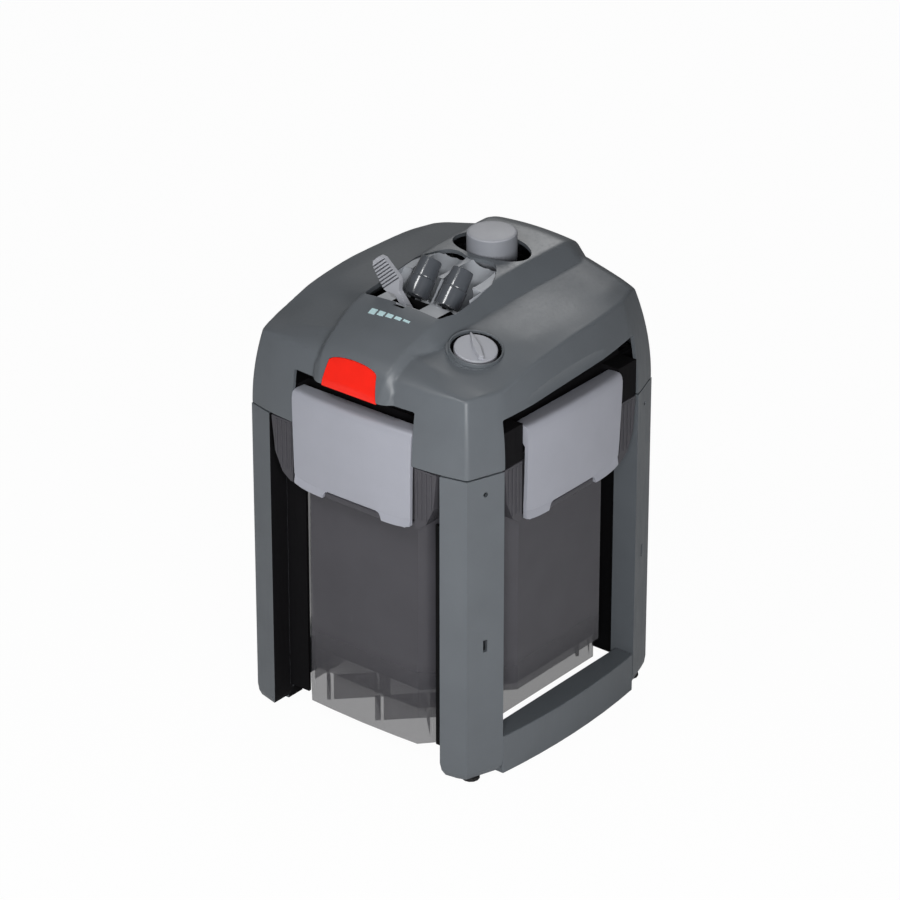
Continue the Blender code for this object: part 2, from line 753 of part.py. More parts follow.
def make_window():
    """Red pane: the front of the band inside the window's outline."""
    pane = add("status_window", slab(grown(window_outline(), -GAP), -HALF_D - 0.03, -HALF_D + 0.02, "Y"), RED)
    keep(pane, band(0.0, WINDOW_BOTTOM - 0.002))
    cut(pane, band(COVER_WALL, WINDOW_BOTTOM - 0.006))
    return pane


# ---------------------------------------------------------------------------------------------------
# Frame: posts, rails and feet
# ---------------------------------------------------------------------------------------------------


def post_outline(draw):
    """Angle-shaped outline of the back right post, whose outer side is drawn in by draw."""
    return [
        (POST_IN_X + draw, POST_OUT_Y - draw),
        (POST_IN_X + draw, POST_OUT_Y - POST_ARM_Y),
        (POST_OUT_X - POST_ARM_X, POST_OUT_Y - POST_ARM_Y),
        (POST_OUT_X - POST_ARM_X, POST_IN_Y),
        (POST_OUT_X - draw, POST_IN_Y),
        (CREASE_X - 0.7 * draw, CREASE_Y - 0.7 * draw),
    ]


def mirrored(points, side_x, side_y):
    """The outline's mirror image, still counter-clockwise."""
    flipped = [(x * side_x, y * side_y) for x, y in points]
    return flipped if side_x * side_y > 0 else flipped[::-1]


def make_post(name, side_x, side_y):
    rings = []
    for share in (0.0, 0.25, 0.55, 1.0):
        draw = POST_TOE_DRAW * (1 - math.sqrt(1 - (1 - share) ** 2))
        outline = mirrored(post_outline(draw), side_x, side_y)
        rings.append(at_height(outline, FOOT_LIFT + share * POST_TOE_ROUND))
    top = SEAM_Z - GAP
    rings.append(at_height(mirrored(post_outline(0.0), side_x, side_y), top))
    post = add("post_" + name, loft(rings), HOUSING)

    def corner_block(low, high):
        inner = POST_OUT_X - POST_ARM_X + 0.002, POST_OUT_Y - POST_ARM_Y + 0.002
        xs = sorted((side_x * (POST_IN_X + POST_TOE_DRAW * 0.3), side_x * inner[0]))
        ys = sorted((side_y * POST_IN_Y, side_y * inner[1]))
        return box((xs[0], ys[0], low), (xs[1], ys[1], high))

    join(post, corner_block(FOOT_LIFT + 0.001, POST_TOE_HEIGHT))
    join(post, corner_block(SHELF_Z, SHELF_Z + SHELF_HEIGHT))
    web_y = POST_OUT_Y - POST_ARM_Y + GAP
    web_x = sorted((side_x * WEB_INNER_X, side_x * (POST_IN_X + 0.002)))
    web_ys = sorted((side_y * web_y, side_y * (web_y + WEB_THICKNESS)))
    web_low = FOOT_LIFT + POST_TOE_ROUND + 0.001
    join(post, box((web_x[0], web_ys[0], web_low), (web_x[1], web_ys[1], WEB_TOP_Z)))
    inner = mirrored(grown(post_outline(0.0), -POST_WALL), side_x, side_y)
    cut(post, slab(inner, FOOT_LIFT + POST_TOE_ROUND, top + 0.01))
    face = Vector((side_x, side_y * (POST_OUT_X - CREASE_X) / (CREASE_Y - POST_IN_Y), 0)).normalized()
    middle = Vector((side_x * (POST_OUT_X + CREASE_X) / 2, side_y * (POST_IN_Y + CREASE_Y) / 2, 0))
    hole = middle + Vector((0, 0, PIN_HOLE_Z))
    cut(post, rod(PIN_HOLE_RADIUS, hole - face * 0.012, hole + face * 0.01, sides=SMALL_ROUND))
    turn = Matrix.Translation(middle) @ face.to_track_quat("X", "Z").to_matrix().to_4x4()
    half = SLOT_WIDTH / 2
    slot = ((-0.012, -half, SLOT_Z - SLOT_HEIGHT / 2), (0.01, half, SLOT_Z + SLOT_HEIGHT / 2))
    cut(post, box(*slot, turn=turn))
    foot = foot_place(side_x, side_y)
    cut(post, upright(FOOT_RADIUS + GAP, foot, -0.01, FOOT_HEIGHT + GAP, SMALL_ROUND))
    pad = turned(
        "foot_" + name,
        [(0, FOOT_HEIGHT), (FOOT_RADIUS, FOOT_HEIGHT), (FOOT_RADIUS, 0), (0, 0)],
        RUBBER,
        at=foot,
        sides=SMALL_ROUND,
    )
    return post, pad


def foot_place(side_x, side_y):
    return Vector((side_x * (POST_OUT_X - 0.0165), side_y * (POST_OUT_Y - 0.0175), 0))


def make_rail(name, side):
    end = POST_IN_Y - GAP
    count = 8
    outer = []
    for i in range(count + 1):
        share = -1 + 2 * i / count
        outer.append((HALF_W - SIDE_SWELL * share * share, share * end))
    outline = mirrored([(RAIL_INNER_X, end), (RAIL_INNER_X, -end)] + outer, side, 1)
    rail = add("rail_" + name, slab(outline, FOOT_LIFT, RAIL_HEIGHT), HOUSING)
    hollow = grown(outline, -POST_WALL)
    cut(rail, slab(hollow, FOOT_LIFT - 0.01, RAIL_HEIGHT - POST_WALL))
    return rail


# ---------------------------------------------------------------------------------------------------
# Canister
# ---------------------------------------------------------------------------------------------------


def octagon_corner(inset):
    """The two corners of the body's front right chamfer."""
    flat_x = BODY_X - CHAMFER_X - inset * 0.41
    flat_y = BODY_Y - CHAMFER_Y - inset * 0.41
    return (flat_x, -BODY_Y + inset), (BODY_X - inset, -flat_y)


def octagon(inset):
    """Plan of the canister's body with its flat corners."""
    right = list(octagon_corner(inset))
    right += [(x, -y) for x, y in reversed(right)]
    return right + [(-x, y) for x, y in reversed(right)]


def swollen_octagon(inset, swell):
    """The same plan with front and back bowed out."""
    front, side = octagon_corner(inset)
    middle = (front[0] * 0.6, front[1] - swell * 0.8)
    bowed = [(0.0, front[1] - swell), middle, (front[0], front[1] - swell * 0.5)]
    return around(bowed + [side, (side[0], 0.0)])


def vessel(inset, levels):
    return loft([at_height(swollen_octagon(inset + extra, swell), z) for z, extra, swell in levels])


def flange_profile(half, top):
    """Outline of the flange seen from one side, drawn in towards the clip's foot."""
    right = [(0.775, LIP_Z), (0.873, LIP_Z + 0.0056), (0.962, LIP_Z + 0.0206), (1.0, LIP_Z + 0.0486)]
    right = [(half * share, z) for share, z in right] + [(half, top)]
    return right + [(-u, z) for u, z in reversed(right)]


def clip_sides():
    """The four sides that have a clip: name, distance of the flange, turn about Z."""
    return (
        ("front", FLANGE_Y, 0),
        ("right", FLANGE_X, 90),
        ("back", FLANGE_Y, 180),
        ("left", FLANGE_X, 270),
    )


def side_box(low, high, degrees):
    """A box given for the front side, turned to another side."""
    return box(low, high, turn=Matrix.Rotation(math.radians(degrees), 4, "Z"))


def flange_pocket(distance):
    """Distance of the flange's face behind a clip."""
    return distance - POCKET_FACE


def side_steps(start, low, high):
    """Boxes over the two sides of the canister's floor."""
    far = BODY_X + 0.02
    spans = [sorted((side * start, side * far)) for side in (-1, 1)]
    return [box((near, -BODY_Y, low), (end, BODY_Y, high)) for near, end in spans]


def make_canister():
    top = SEAM_Z - GAP
    levels = ((SKIRT_Z, 0.0, BODY_SWELL), (0.10, 0.0, BODY_SWELL * 0.5), (0.19, 0.0, 0.0), (top, 0.0, 0.0))
    canister = add("canister", vessel(0.0, levels), SMOKY)
    cut(canister, *side_steps(STEP_X, SKIRT_Z - 0.01, SIDE_SKIRT_Z))
    join(canister, slab(flange_profile(FLANGE_TOP_HALF, top), -FLANGE_Y, FLANGE_Y, axis="Y"))
    join(canister, slab(flange_profile(FLANGE_TOP_HALF, top), -FLANGE_X, FLANGE_X, axis="X"))
    corner_x = POST_OUT_X - POST_ARM_X - GAP
    corner_y = POST_OUT_Y - POST_ARM_Y - GAP
    low = SHELF_Z + SHELF_HEIGHT + GAP
    join(canister, box((-corner_x, -corner_y, low), (corner_x, corner_y, top)))
    for _, distance, turn in clip_sides():
        face = flange_pocket(distance)
        lip_top = LIP_Z + LIP_HEIGHT
        half = CLIP_HALF + 0.0015
        cut(canister, side_box((-half, -distance - 0.02, lip_top), (half, -face, top + 0.01), turn))
        lip = -face - LIP_REACH
        cut(canister, side_box((-half, -distance - 0.02, LIP_Z - 0.01), (half, lip, lip_top + 0.001), turn))
        nose = ((-NOTCH_HALF + 0.001, lip + GAP, CLIP_FOOT_Z), (NOTCH_HALF - 0.001, -face + 0.001, LIP_Z + 0.001))
        join(canister, side_box(*nose, turn))
    floor = FLOOR_Z + CANISTER_WALL
    inner = (
        (floor, 0.0, BODY_SWELL * 0.8),
        (0.10, 0.0, BODY_SWELL * 0.5),
        (0.19, 0.0, 0.0),
        (MOUTH_Z - 0.012, 0.0, 0.0),
        (MOUTH_Z, -MOUTH_FLARE, 0.0),
        (SEAM_Z + 0.01, -MOUTH_FLARE, 0.0),
    )
    inside = tool("canister_inside", vessel(CANISTER_WALL, inner))
    cut(inside, *side_steps(STEP_X - CANISTER_WALL, FLOOR_Z, SIDE_SKIRT_Z + CANISTER_WALL))
    cut(canister, inside)
    under = ((SKIRT_Z - 0.01, 0.0, BODY_SWELL), (FLOOR_Z, 0.0, BODY_SWELL))
    hollow = tool("canister_under", vessel(CANISTER_WALL, under))
    cut(hollow, *side_steps(STEP_X - CANISTER_WALL, SKIRT_Z - 0.02, FLOOR_Z + 0.01))
    cut(hollow, *floor_ribs())
    cut(canister, hollow)
    return canister


def floor_ribs():
    """Slanted ribs in a zigzag across the front and the back of the space under the floor."""
    ribs = []
    low, high = FLOOR_Z - RIB_TOP_DROP, FLOOR_Z + 0.01
    pitch = STEP_X / 3
    for side_y in (-1, 1):
        for i in range(-2, 3):
            lean = math.radians(45 if i % 2 else -45)
            place = Vector((i * pitch, side_y * BODY_Y * 0.84, 0))
            turn = Matrix.Translation(place) @ Matrix.Rotation(lean, 4, "Z")
            half = BODY_Y * 0.26
            ribs.append(box((-half, -RIB_THICKNESS / 2, low), (half, RIB_THICKNESS / 2, high), turn=turn))
    return ribs


# ---------------------------------------------------------------------------------------------------
# Head base with the pump's chamber, sockets and clip bearings
# ---------------------------------------------------------------------------------------------------

BASE_Z = SEAM_Z + GAP
TRAY_FLOOR_Z = SEAM_Z - SPIGOT_DEPTH + SPIGOT_FLOOR
SPIGOT_BOTTOM_Z = SEAM_Z - SPIGOT_DEPTH
POCKET_DEPTH = 0.0093  # room behind a clip's pivot
DUCT_LOW = SPIGOT_BOTTOM_Z + 0.0035
DUCT_HIGH = DUCT_LOW + 0.007
DUCT_HALF = 0.005
CHAMBER_TOP = SPIGOT_BOTTOM_Z + CHAMBER_HEIGHT
CHAMBER_BOSS_TOP = CHAMBER_TOP + CHAMBER_ROOF
WELL_TOP = SEAM_Z + WELL_HEIGHT
WELL_ROOF = WELL_TOP - WELL_WALL


def pivot_distance(distance):
    """Distance of a clip's pivot from the middle, on the front or back and on the sides."""
    return HALF_D - PIVOT_INSET_Y if distance == FLANGE_Y else HALF_W - PIVOT_INSET_Y


def ducts(grow, low, high):
    """Water ways in the base: chamber to the left socket, and right socket to the riser."""
    runs = (
        (PUMP_AT, Vector((-SPIGOT_X, SPIGOT_Y, 0))),
        (RISER_AT, Vector((SPIGOT_X, SPIGOT_Y, 0))),
    )
    made = []
    for start, end in runs:
        along = end - start
        turn = Matrix.Translation(start) @ along.to_track_quat("X", "Z").to_matrix().to_4x4()
        half = DUCT_HALF + grow
        made.append(box((0.0, -half, low), (along.length, half, high), turn=turn))
    return made


def valve_axis(distance):
    """A point on the knob's axis below the disc's face."""
    return knob_centre() - KNOB_SLOPE * distance


def make_base():
    top = SEAM_Z + BASE_TOP
    half_x, half_y = BASE_CORNER_X, BASE_CORNER_Y
    base = add("head_base", box((-half_x, -half_y, BASE_Z), (half_x, half_y, top)), HOUSING)
    join(base, box((-BASE_SIDE_X, -POST_IN_Y + 0.0013, BASE_Z), (BASE_SIDE_X, POST_IN_Y - 0.0013, top)))
    narrow = POST_IN_X - BASE_NARROW
    join(base, box((-narrow, -BASE_FRONT_Y, BASE_Z), (narrow, BASE_FRONT_Y, top)))
    low = (-BASE_INSIDE_X, -BASE_INSIDE_Y, BASE_Z + BASE_FLOOR)
    cut(base, box(low, (BASE_INSIDE_X, BASE_INSIDE_Y, top + 0.01)))
    spigot = octagon(-MOUTH_FLARE + CANISTER_WALL + SEAL_WIDTH + 2 * GAP)
    join(base, slab(spigot, SPIGOT_BOTTOM_Z, BASE_Z + BASE_FLOOR - 0.001))
    floor = octagon(CANISTER_WALL + SEAL_WIDTH + 0.004)
    cut(base, slab(floor, TRAY_FLOOR_Z, BASE_Z + BASE_FLOOR + 0.005))
    for _, distance, turn in clip_sides():
        back = pivot_distance(distance) - POCKET_DEPTH
        half = CLIP_HALF + 0.0005
        low, high = (-half, -distance - 0.02, BASE_Z + BASE_FLOOR), (half, -back, top + 0.02)
        cut(base, side_box(low, high, turn))
        pivot = pivot_distance(distance)
        place = Matrix.Rotation(math.radians(turn), 4, "Z")
        ends = [place @ Vector((x, -pivot, PIVOT_Z)) for x in (-PIN_HALF - GAP, PIN_HALF + GAP)]
        cut(base, rod(PIN_RADIUS + GAP, *ends, sides=SMALL_ROUND))
    join(base, *ducts(0.003, SPIGOT_BOTTOM_Z + 0.001, DUCT_HIGH + 0.003))
    join(base, upright(CHAMBER_RADIUS + CHAMBER_WALL, PUMP_AT, SPIGOT_BOTTOM_Z + 0.0005, CHAMBER_BOSS_TOP))
    join(base, upright(WELL_RADIUS + WELL_WALL, PUMP_AT, CHAMBER_TOP, WELL_TOP))
    join(base, upright(RISER_RADIUS + 0.0035, RISER_AT, SPIGOT_BOTTOM_Z + 0.0005, DUCT_HIGH + 0.004))
    sockets = [Vector((side * SPIGOT_X, SPIGOT_Y, 0)) for side in (-1, 1)]
    outer = SPIGOT_RADIUS + 0.0045
    join(base, *[upright(outer, at, SPIGOT_BOTTOM_Z + 0.001, SEAM_Z + SOCKET_HEIGHT) for at in sockets])
    housing = (valve_axis(SPINDLE_LENGTH - 0.004), valve_axis(SPINDLE_LENGTH + VALVE_LENGTH + 0.014))
    join(base, rod(VALVE_RADIUS + 0.003, *housing))
    end = valve_axis(SPINDLE_LENGTH + VALVE_LENGTH + RUNNING_GAP + 0.001)
    cut(base, rod(VALVE_RADIUS + RUNNING_GAP, valve_axis(SPINDLE_LENGTH - 0.02), end))
    bore = SPIGOT_RADIUS + 0.0017
    cut(base, *[upright(bore, at, DUCT_LOW, SEAM_Z + SOCKET_HEIGHT + 0.01) for at in sockets])
    cut(base, *ducts(0.0, DUCT_LOW, DUCT_HIGH))
    cut(base, upright(CHAMBER_RADIUS, PUMP_AT, SPIGOT_BOTTOM_Z - 0.01, CHAMBER_TOP))
    cut(base, upright(WELL_RADIUS, PUMP_AT, CHAMBER_TOP - 0.001, WELL_ROOF))
    cut(base, upright(RISER_RADIUS + GAP, RISER_AT, SPIGOT_BOTTOM_Z - 0.01, DUCT_HIGH))
    for place in four_corners(SCREW_X, SCREW_Y).values():
        cut(base, upright(SCREW_HEAD_RADIUS + GAP, place, BASE_Z - 0.01, BASE_Z + 0.0032, SMALL_ROUND))
        cut(base, upright(SCREW_RADIUS + GAP, place, BASE_Z, BASE_Z + 0.01, SMALL_ROUND))
    start, end = gland_axis(BASE_INSIDE_Y - 0.0075), gland_axis(HALF_D)
    cut(base, rod(GLAND_RADIUS + GAP, start, end, sides=SMALL_ROUND))
    return base


def gland_axis(y):
    return Vector((GLAND_X, y, SEAM_Z + GLAND_Z))


def make_gland(cover):
    """Cord entry in the back wall, left of the clip. No cord is fitted."""
    start, end = gland_axis(HALF_D - 0.02), gland_axis(HALF_D + 0.01)
    cut(cover, rod(GLAND_RADIUS + GAP, start, end, sides=SMALL_ROUND))
    face = HALF_D - GLAND_SUNK
    profile = [(GLAND_BORE, GLAND_SUNK), (GLAND_FLANGE - 0.002, GLAND_SUNK), (GLAND_FLANGE, 0.0)]
    profile += [(GLAND_RADIUS, 0.0), (GLAND_RADIUS, -GLAND_LENGTH), (GLAND_BORE, -GLAND_LENGTH)]
    return turned("cord_gland", profile, BLACK, gland_axis(face), True, SMALL_ROUND, direction=(0, 1, 0))


def make_seal():
    outer = octagon(-MOUTH_FLARE + CANISTER_WALL + GAP)
    inner = octagon(-MOUTH_FLARE + CANISTER_WALL + SEAL_WIDTH + GAP)
    low = SPIGOT_BOTTOM_Z + 0.003
    seal = add("head_seal", slab(outer, low, low + SEAL_HEIGHT), RUBBER)
    cut(seal, slab(inner, low - 0.01, low + 0.02))
    return seal


def make_cover_screw(name, place):
    head = SCREW_HEAD_RADIUS
    profile = [(0, SCREW_LENGTH - 0.001), (SCREW_RADIUS, SCREW_LENGTH - 0.001), (SCREW_RADIUS, 0.0028)]
    profile += [(head, 0.0028), (head, 0.0), (0, 0.0)]
    return turned("cover_screw_" + name, profile, STEEL, place + Vector((0, 0, BASE_Z)), sides=SMALL_ROUND)


# ---------------------------------------------------------------------------------------------------
# Clips and their pins
# ---------------------------------------------------------------------------------------------------


def clip_rings(face, pivot, lean):
    """Sections of the front clip from left to right. Its face is at -face at both ends."""
    rings = []
    foot_z = CLIP_FOOT_Z
    hook_top = LIP_Z - HOOK_GAP
    back = -pivot + 0.0040
    for share in (-1.0, -0.7, -0.35, 0.0, 0.35, 0.7, 1.0):
        bow = CLIP_BOW * (1 - share * share)
        corner = 0.004 * share**6
        outline = [
            (lean, foot_z + corner),
            (lean * 0.9 - bow * 0.3, foot_z + 0.009 + corner),
            (lean * 0.4 - bow * 0.9, (foot_z + CLIP_TOP_Z) / 2),
            (-bow, CLIP_TOP_Z - 0.012),
            (-bow + 0.0006, CLIP_TOP_Z - 0.003),
            (-bow + 0.0040, CLIP_TOP_Z),
        ]
        ring = [(-face + offset, z) for offset, z in outline]
        ring += [(back, CLIP_TOP_Z - 0.0005), (back, PIVOT_Z - 0.0042)]
        inner = -face + CLIP_THICKNESS
        ring += [
            (inner + 0.0035, PIVOT_Z - 0.0050),
            (inner - bow + 0.0003, PIVOT_Z - 0.009),
            (inner + lean * 0.4 - bow * 0.9, (foot_z + CLIP_TOP_Z) / 2),
            (inner + lean, hook_top + 0.010),
            (inner + lean, foot_z + 0.0001 + corner),
        ]
        points = []
        for y, z in ring:
            rise = (z - foot_z) / (CLIP_TOP_Z - foot_z)
            half = CLIP_FOOT_HALF + (CLIP_HALF - CLIP_FOOT_HALF) * rise
            points.append((share * half, y, z))
        rings.append(points)
    return rings


def make_clip(name, distance, degrees):
    front = distance == FLANGE_Y
    face = (HALF_D + CLIP_PROUD - CLIP_BOW) if front else (HALF_W - CLIP_SUNK)
    lean = CLIP_LEAN_FRONT if front else CLIP_LEAN_SIDE
    pivot = pivot_distance(distance)
    clip = add("clip_" + name, loft(clip_rings(face, pivot, lean)), SILVER)
    hook_in = flange_pocket(distance) - 0.0012
    wall = face - lean - CLIP_THICKNESS / 2
    for side in (-1, 1):
        xs = sorted((side * (NOTCH_HALF + 0.004), side * (CLIP_FOOT_HALF - 0.006)))
        hook = ((xs[0], -wall, CLIP_FOOT_Z + 0.0004), (xs[1], -hook_in, LIP_Z - HOOK_GAP))
        join(clip, box(*hook))
    foot = CLIP_FOOT_Z
    notch = [
        (-NOTCH_HALF - 0.0015, foot - 0.01),
        (NOTCH_HALF + 0.0015, foot - 0.01),
        (NOTCH_HALF + 0.0015, foot),
        (NOTCH_HALF - 0.001, foot + NOTCH_HEIGHT - 0.0015),
        (NOTCH_HALF - 0.004, foot + NOTCH_HEIGHT),
        (-NOTCH_HALF + 0.004, foot + NOTCH_HEIGHT),
        (-NOTCH_HALF + 0.001, foot + NOTCH_HEIGHT - 0.0015),
        (-NOTCH_HALF - 0.0015, foot),
    ]
    cut(clip, slab(notch, -face - 0.02, -pivot, axis="Y"))
    ends = [Vector((x, -pivot, PIVOT_Z)) for x in (-2 * PIN_HALF, 2 * PIN_HALF)]
    cut(clip, rod(PIN_RADIUS + RUNNING_GAP, *ends, sides=SMALL_ROUND))
    hinge = bpy.data.objects.new("hinge_" + name, None)
    PARTS.objects.link(hinge)
    turn = Matrix.Rotation(math.radians(degrees), 4, "Z")
    hinge.location = turn @ Vector((0, -pivot, PIVOT_Z))
    hinge.rotation_euler.z = math.radians(degrees)
    back_to_hinge = Matrix.Translation((0, pivot, -PIVOT_Z))
    clip.parent = hinge
    clip.matrix_local = back_to_hinge
    for step in clip.modifiers:
        step.object.parent = hinge
        step.object.matrix_local = back_to_hinge
    ends = (Vector((-PIN_HALF, -pivot, PIVOT_Z)), Vector((PIN_HALF, -pivot, PIVOT_Z)))
    place = [turn @ point for point in ends]
    pin = smooth(add("clip_pin_" + name, rod(PIN_RADIUS, *place, sides=SMALL_ROUND), STEEL))
    return clip, pin


# ---------------------------------------------------------------------------------------------------
# Priming pump
# ---------------------------------------------------------------------------------------------------


def well_oval(wall):
    """Plan of the well's inner side, or of its outer side with a wall."""
    return ellipse(WELL_HALF_X + wall, WELL_HALF_Y + wall, BUTTON_Y)


def make_prime_well():
    """Oval wall of the well that the button stands in."""
    low, rim = SEAM_Z + WELL_FLOOR + GAP, SEAM_Z + WELL_RIM
    well = add("prime_well", slab(well_oval(SLEEVE_WALL), low, rim), BLACK)
    cut(well, slab(well_oval(GAP), low - 0.01, rim + 0.01))
    return well


def make_prime_sleeve():
    """Cylinder of the priming pump under the oval floor of the well."""
    bore = BUTTON_RADIUS + RUNNING_GAP
    radius = bore + SLEEVE_WALL
    floor = SEAM_Z + WELL_FLOOR
    at = Vector((0, BUTTON_Y, 0))
    sleeve = add("prime_sleeve", slab(well_oval(SLEEVE_WALL), floor - SLEEVE_WALL, floor), BLACK)
    join(sleeve, upright(radius, at, TRAY_FLOOR_Z + GAP, floor - 0.001))
    web = SEAM_Z + SLEEVE_WEB
    cut(sleeve, upright(bore, at, web, floor + 0.02))
    cut(sleeve, upright(bore, at, TRAY_FLOOR_Z - 0.01, web - SLEEVE_WALL))
    cut(sleeve, upright(0.004, at, web - 0.01, web + 0.01, SMALL_ROUND))
    return sleeve


def make_prime_button():
    top = SEAM_Z + BUTTON_TOP
    inner = BUTTON_RADIUS - BUTTON_WALL
    low = top - BUTTON_SKIRT
    under = top - BUTTON_WALL
    profile = [(0, top + 0.0006), (BUTTON_RADIUS * 0.6, top + 0.0003), (BUTTON_RADIUS - 0.0012, top)]
    profile += [(BUTTON_RADIUS, top - 0.0012), (BUTTON_RADIUS, low), (inner, low), (inner, under), (0, under)]
    return turned("prime_button", profile, LIGHT, at=(0, BUTTON_Y, 0))


def make_prime_spring():
    low = SEAM_Z + SLEEVE_WEB + GAP + SPRING_WIRE
    high = SEAM_Z + BUTTON_TOP - BUTTON_WALL - GAP - SPRING_WIRE
    steps = 12 * SPRING_TURNS
    points = []
    for i in range(steps + 1):
        turn = 2 * math.pi * i / 12
        x = SPRING_RADIUS * math.cos(turn)
        y = BUTTON_Y + SPRING_RADIUS * math.sin(turn)
        points.append((x, y, low + (high - low) * i / steps))
    return wire("prime_spring", points, SPRING_WIRE, STEEL, sides=1)


# ---------------------------------------------------------------------------------------------------
# Hose adapter, nozzles and flow lever
# ---------------------------------------------------------------------------------------------------


def nozzle_base(side):
    return Vector((side * NOZZLE_X, NOZZLE_Y, SEAM_Z + NOZZLE_HEIGHT))


def nozzle_direction():
    return Vector((0, math.cos(NOZZLE_ANGLE), math.sin(NOZZLE_ANGLE)))


def make_adapter():
    low, high = SEAM_Z + ADAPTER_BOTTOM, SEAM_Z + 0.13
    adapter = add("hose_adapter", slab(grown(adapter_outline(), -0.0004), low, high), LIGHT)
    keep(adapter, band(ADAPTER_SINK, -0.1))
    plate = SEAM_Z + PLATE_HEIGHT
    trench = SEAM_Z + TRENCH_HEIGHT
    cut(adapter, box((-0.05, -0.07, plate), (0.05, PLATE_BACK_Y, high)))
    cut(adapter, box((-0.05, -0.07, trench), (0.05, PLATE_FRONT_Y, high)))
    cut(adapter, box((0.027, -0.07, trench), (0.05, -0.030, high)))
    cut(adapter, box((-0.05, -0.07, trench), (-0.031, -0.030, high)))
    along = Vector((0, math.cos(CHANNEL_ANGLE), math.sin(CHANNEL_ANGLE)))
    for side in (-1, 1):
        start = Vector((side * CHANNEL_X, NOZZLE_Y, SEAM_Z + NOZZLE_HEIGHT))
        cut(adapter, rod(CHANNEL_RADIUS, start, start + along * 0.09))
    direction = nozzle_direction()
    for side in (-1, 1):
        start = nozzle_base(side)
        boss = rod(COLLAR_RADIUS + BOSS_WALL, start - direction * 0.012, start + direction * BOSS_RISE)
        join(adapter, boss)
        cut(adapter, rod(COLLAR_RADIUS + GAP, start - direction * GAP, start + direction * 0.03))
    slot_low = SEAM_Z + LEVER_PIVOT - 0.0065
    slot_x = (-LEVER_SLOT_SHIFT - LEVER_SLOT_HALF, -LEVER_SLOT_SHIFT + LEVER_SLOT_HALF)
    slot_y = (LEVER_Y - LEVER_THICKNESS / 2 - RUNNING_GAP, LEVER_Y + LEVER_THICKNESS / 2 + 0.008)
    cut(adapter, box((slot_x[0], slot_y[0], slot_low), (slot_x[1], slot_y[1], high)))
    pin = [Vector((0, y, SEAM_Z + LEVER_PIVOT)) for y in (PLATE_FRONT_Y - 0.01, slot_y[1] + 0.004)]
    cut(adapter, rod(LEVER_PIN_RADIUS + GAP, *pin, sides=SMALL_ROUND))
    for side in (-1, 1):
        at = Vector((side * SPIGOT_X, SPIGOT_Y, 0))
        join(adapter, upright(SPIGOT_RADIUS, at, SEAM_Z + 0.020, low + 0.002))
        cut(adapter, upright(NOZZLE_BORE, at, SEAM_Z + 0.015, low + 0.012, SMALL_ROUND))
        start = nozzle_base(side)
        cut(adapter, rod(NOZZLE_BORE, start - direction * 0.022, start + direction * 0.01, sides=SMALL_ROUND))
    return adapter


def make_nozzle(name, side):
    mid = NOZZLE_LENGTH * COLLAR_SHARE
    foot = NOZZLE_RADIUS + NOZZLE_SWELL
    profile = [
        (NOZZLE_BORE, NOZZLE_LENGTH),
        (NOZZLE_RADIUS - 0.0008, NOZZLE_LENGTH),
        (NOZZLE_RADIUS, NOZZLE_LENGTH - 0.001),
        (foot, mid + 0.0006),
        (foot - 0.0008, mid),
        (COLLAR_RADIUS - 0.0008, mid - 0.0004),
        (COLLAR_RADIUS, mid - 0.0016),
        (COLLAR_RADIUS, 0.0),
        (NOZZLE_BORE, 0.0),
    ]
    return turned(name, profile, GLOSSY, nozzle_base(side), True, 24, direction=nozzle_direction())


def make_adapter_seal(name, side):
    """Ring on a spigot of the adapter."""
    count = 24
    radius = SPIGOT_RADIUS + 0.00085
    z = SEAM_Z + 0.030
    points = []
    for i in range(count):
        turn = 2 * math.pi * i / count
        points.append((side * SPIGOT_X + radius * math.cos(turn), SPIGOT_Y + radius * math.sin(turn), z))
    return wire(name, points, 0.00055, RUBBER, sides=1, cyclic=True)


def make_lever():
    """Ribbed paddle on a stem, modelled upright on its pivot and tilted to the left at rest."""
    start, end = LEVER_Y - LEVER_THICKNESS / 2, LEVER_Y + LEVER_THICKNESS / 2
    foot = LEVER_LENGTH - PADDLE_LENGTH
    neck = foot - 0.005
    outline = [(STEM_HALF, 0.0), (STEM_HALF, neck), (PADDLE_HALF - 0.0016, foot), (PADDLE_HALF, foot + 0.003)]
    outline += [(PADDLE_TOP_HALF, LEVER_LENGTH - 0.003), (PADDLE_TOP_HALF - 0.003, LEVER_LENGTH)]
    outline += [(-x, z) for x, z in reversed(outline)]
    lever = add("flow_lever", slab(outline, start, end, axis="Y"), LIGHT)
    hub = [Vector((0, y, 0)) for y in (start, end)]
    join(lever, rod(0.0048, *hub, sides=24))
    ribs = 8
    pitch = (PADDLE_LENGTH - 0.006) / (ribs - 0.5)
    for i in range(ribs):
        low = foot + 0.003 + i * pitch
        cut(lever, box((-0.02, start - 0.01, low), (0.02, start + 0.0008, low + pitch * 0.42)))
    bore = [Vector((0, y, 0)) for y in (start - 0.01, end + 0.01)]
    cut(lever, rod(LEVER_PIN_RADIUS + RUNNING_GAP, *bore, sides=SMALL_ROUND))
    hinge = bpy.data.objects.new("hinge_lever", None)
    PARTS.objects.link(hinge)
    hinge.location = (0, 0, SEAM_Z + LEVER_PIVOT)
    hinge.rotation_euler.y = -LEVER_TILT
    lever.parent = hinge
    for step in lever.modifiers:
        step.object.parent = hinge
    pin_ends = (PLATE_FRONT_Y + 0.0002, LEVER_Y + LEVER_THICKNESS / 2 + 0.0115)
    ends = [Vector((0, y, SEAM_Z + LEVER_PIVOT)) for y in pin_ends]
    smooth(add("lever_pin", rod(LEVER_PIN_RADIUS, *ends, sides=SMALL_ROUND), STEEL))
    return lever


# ---------------------------------------------------------------------------------------------------
# Bypass knob and its valve
# ---------------------------------------------------------------------------------------------------


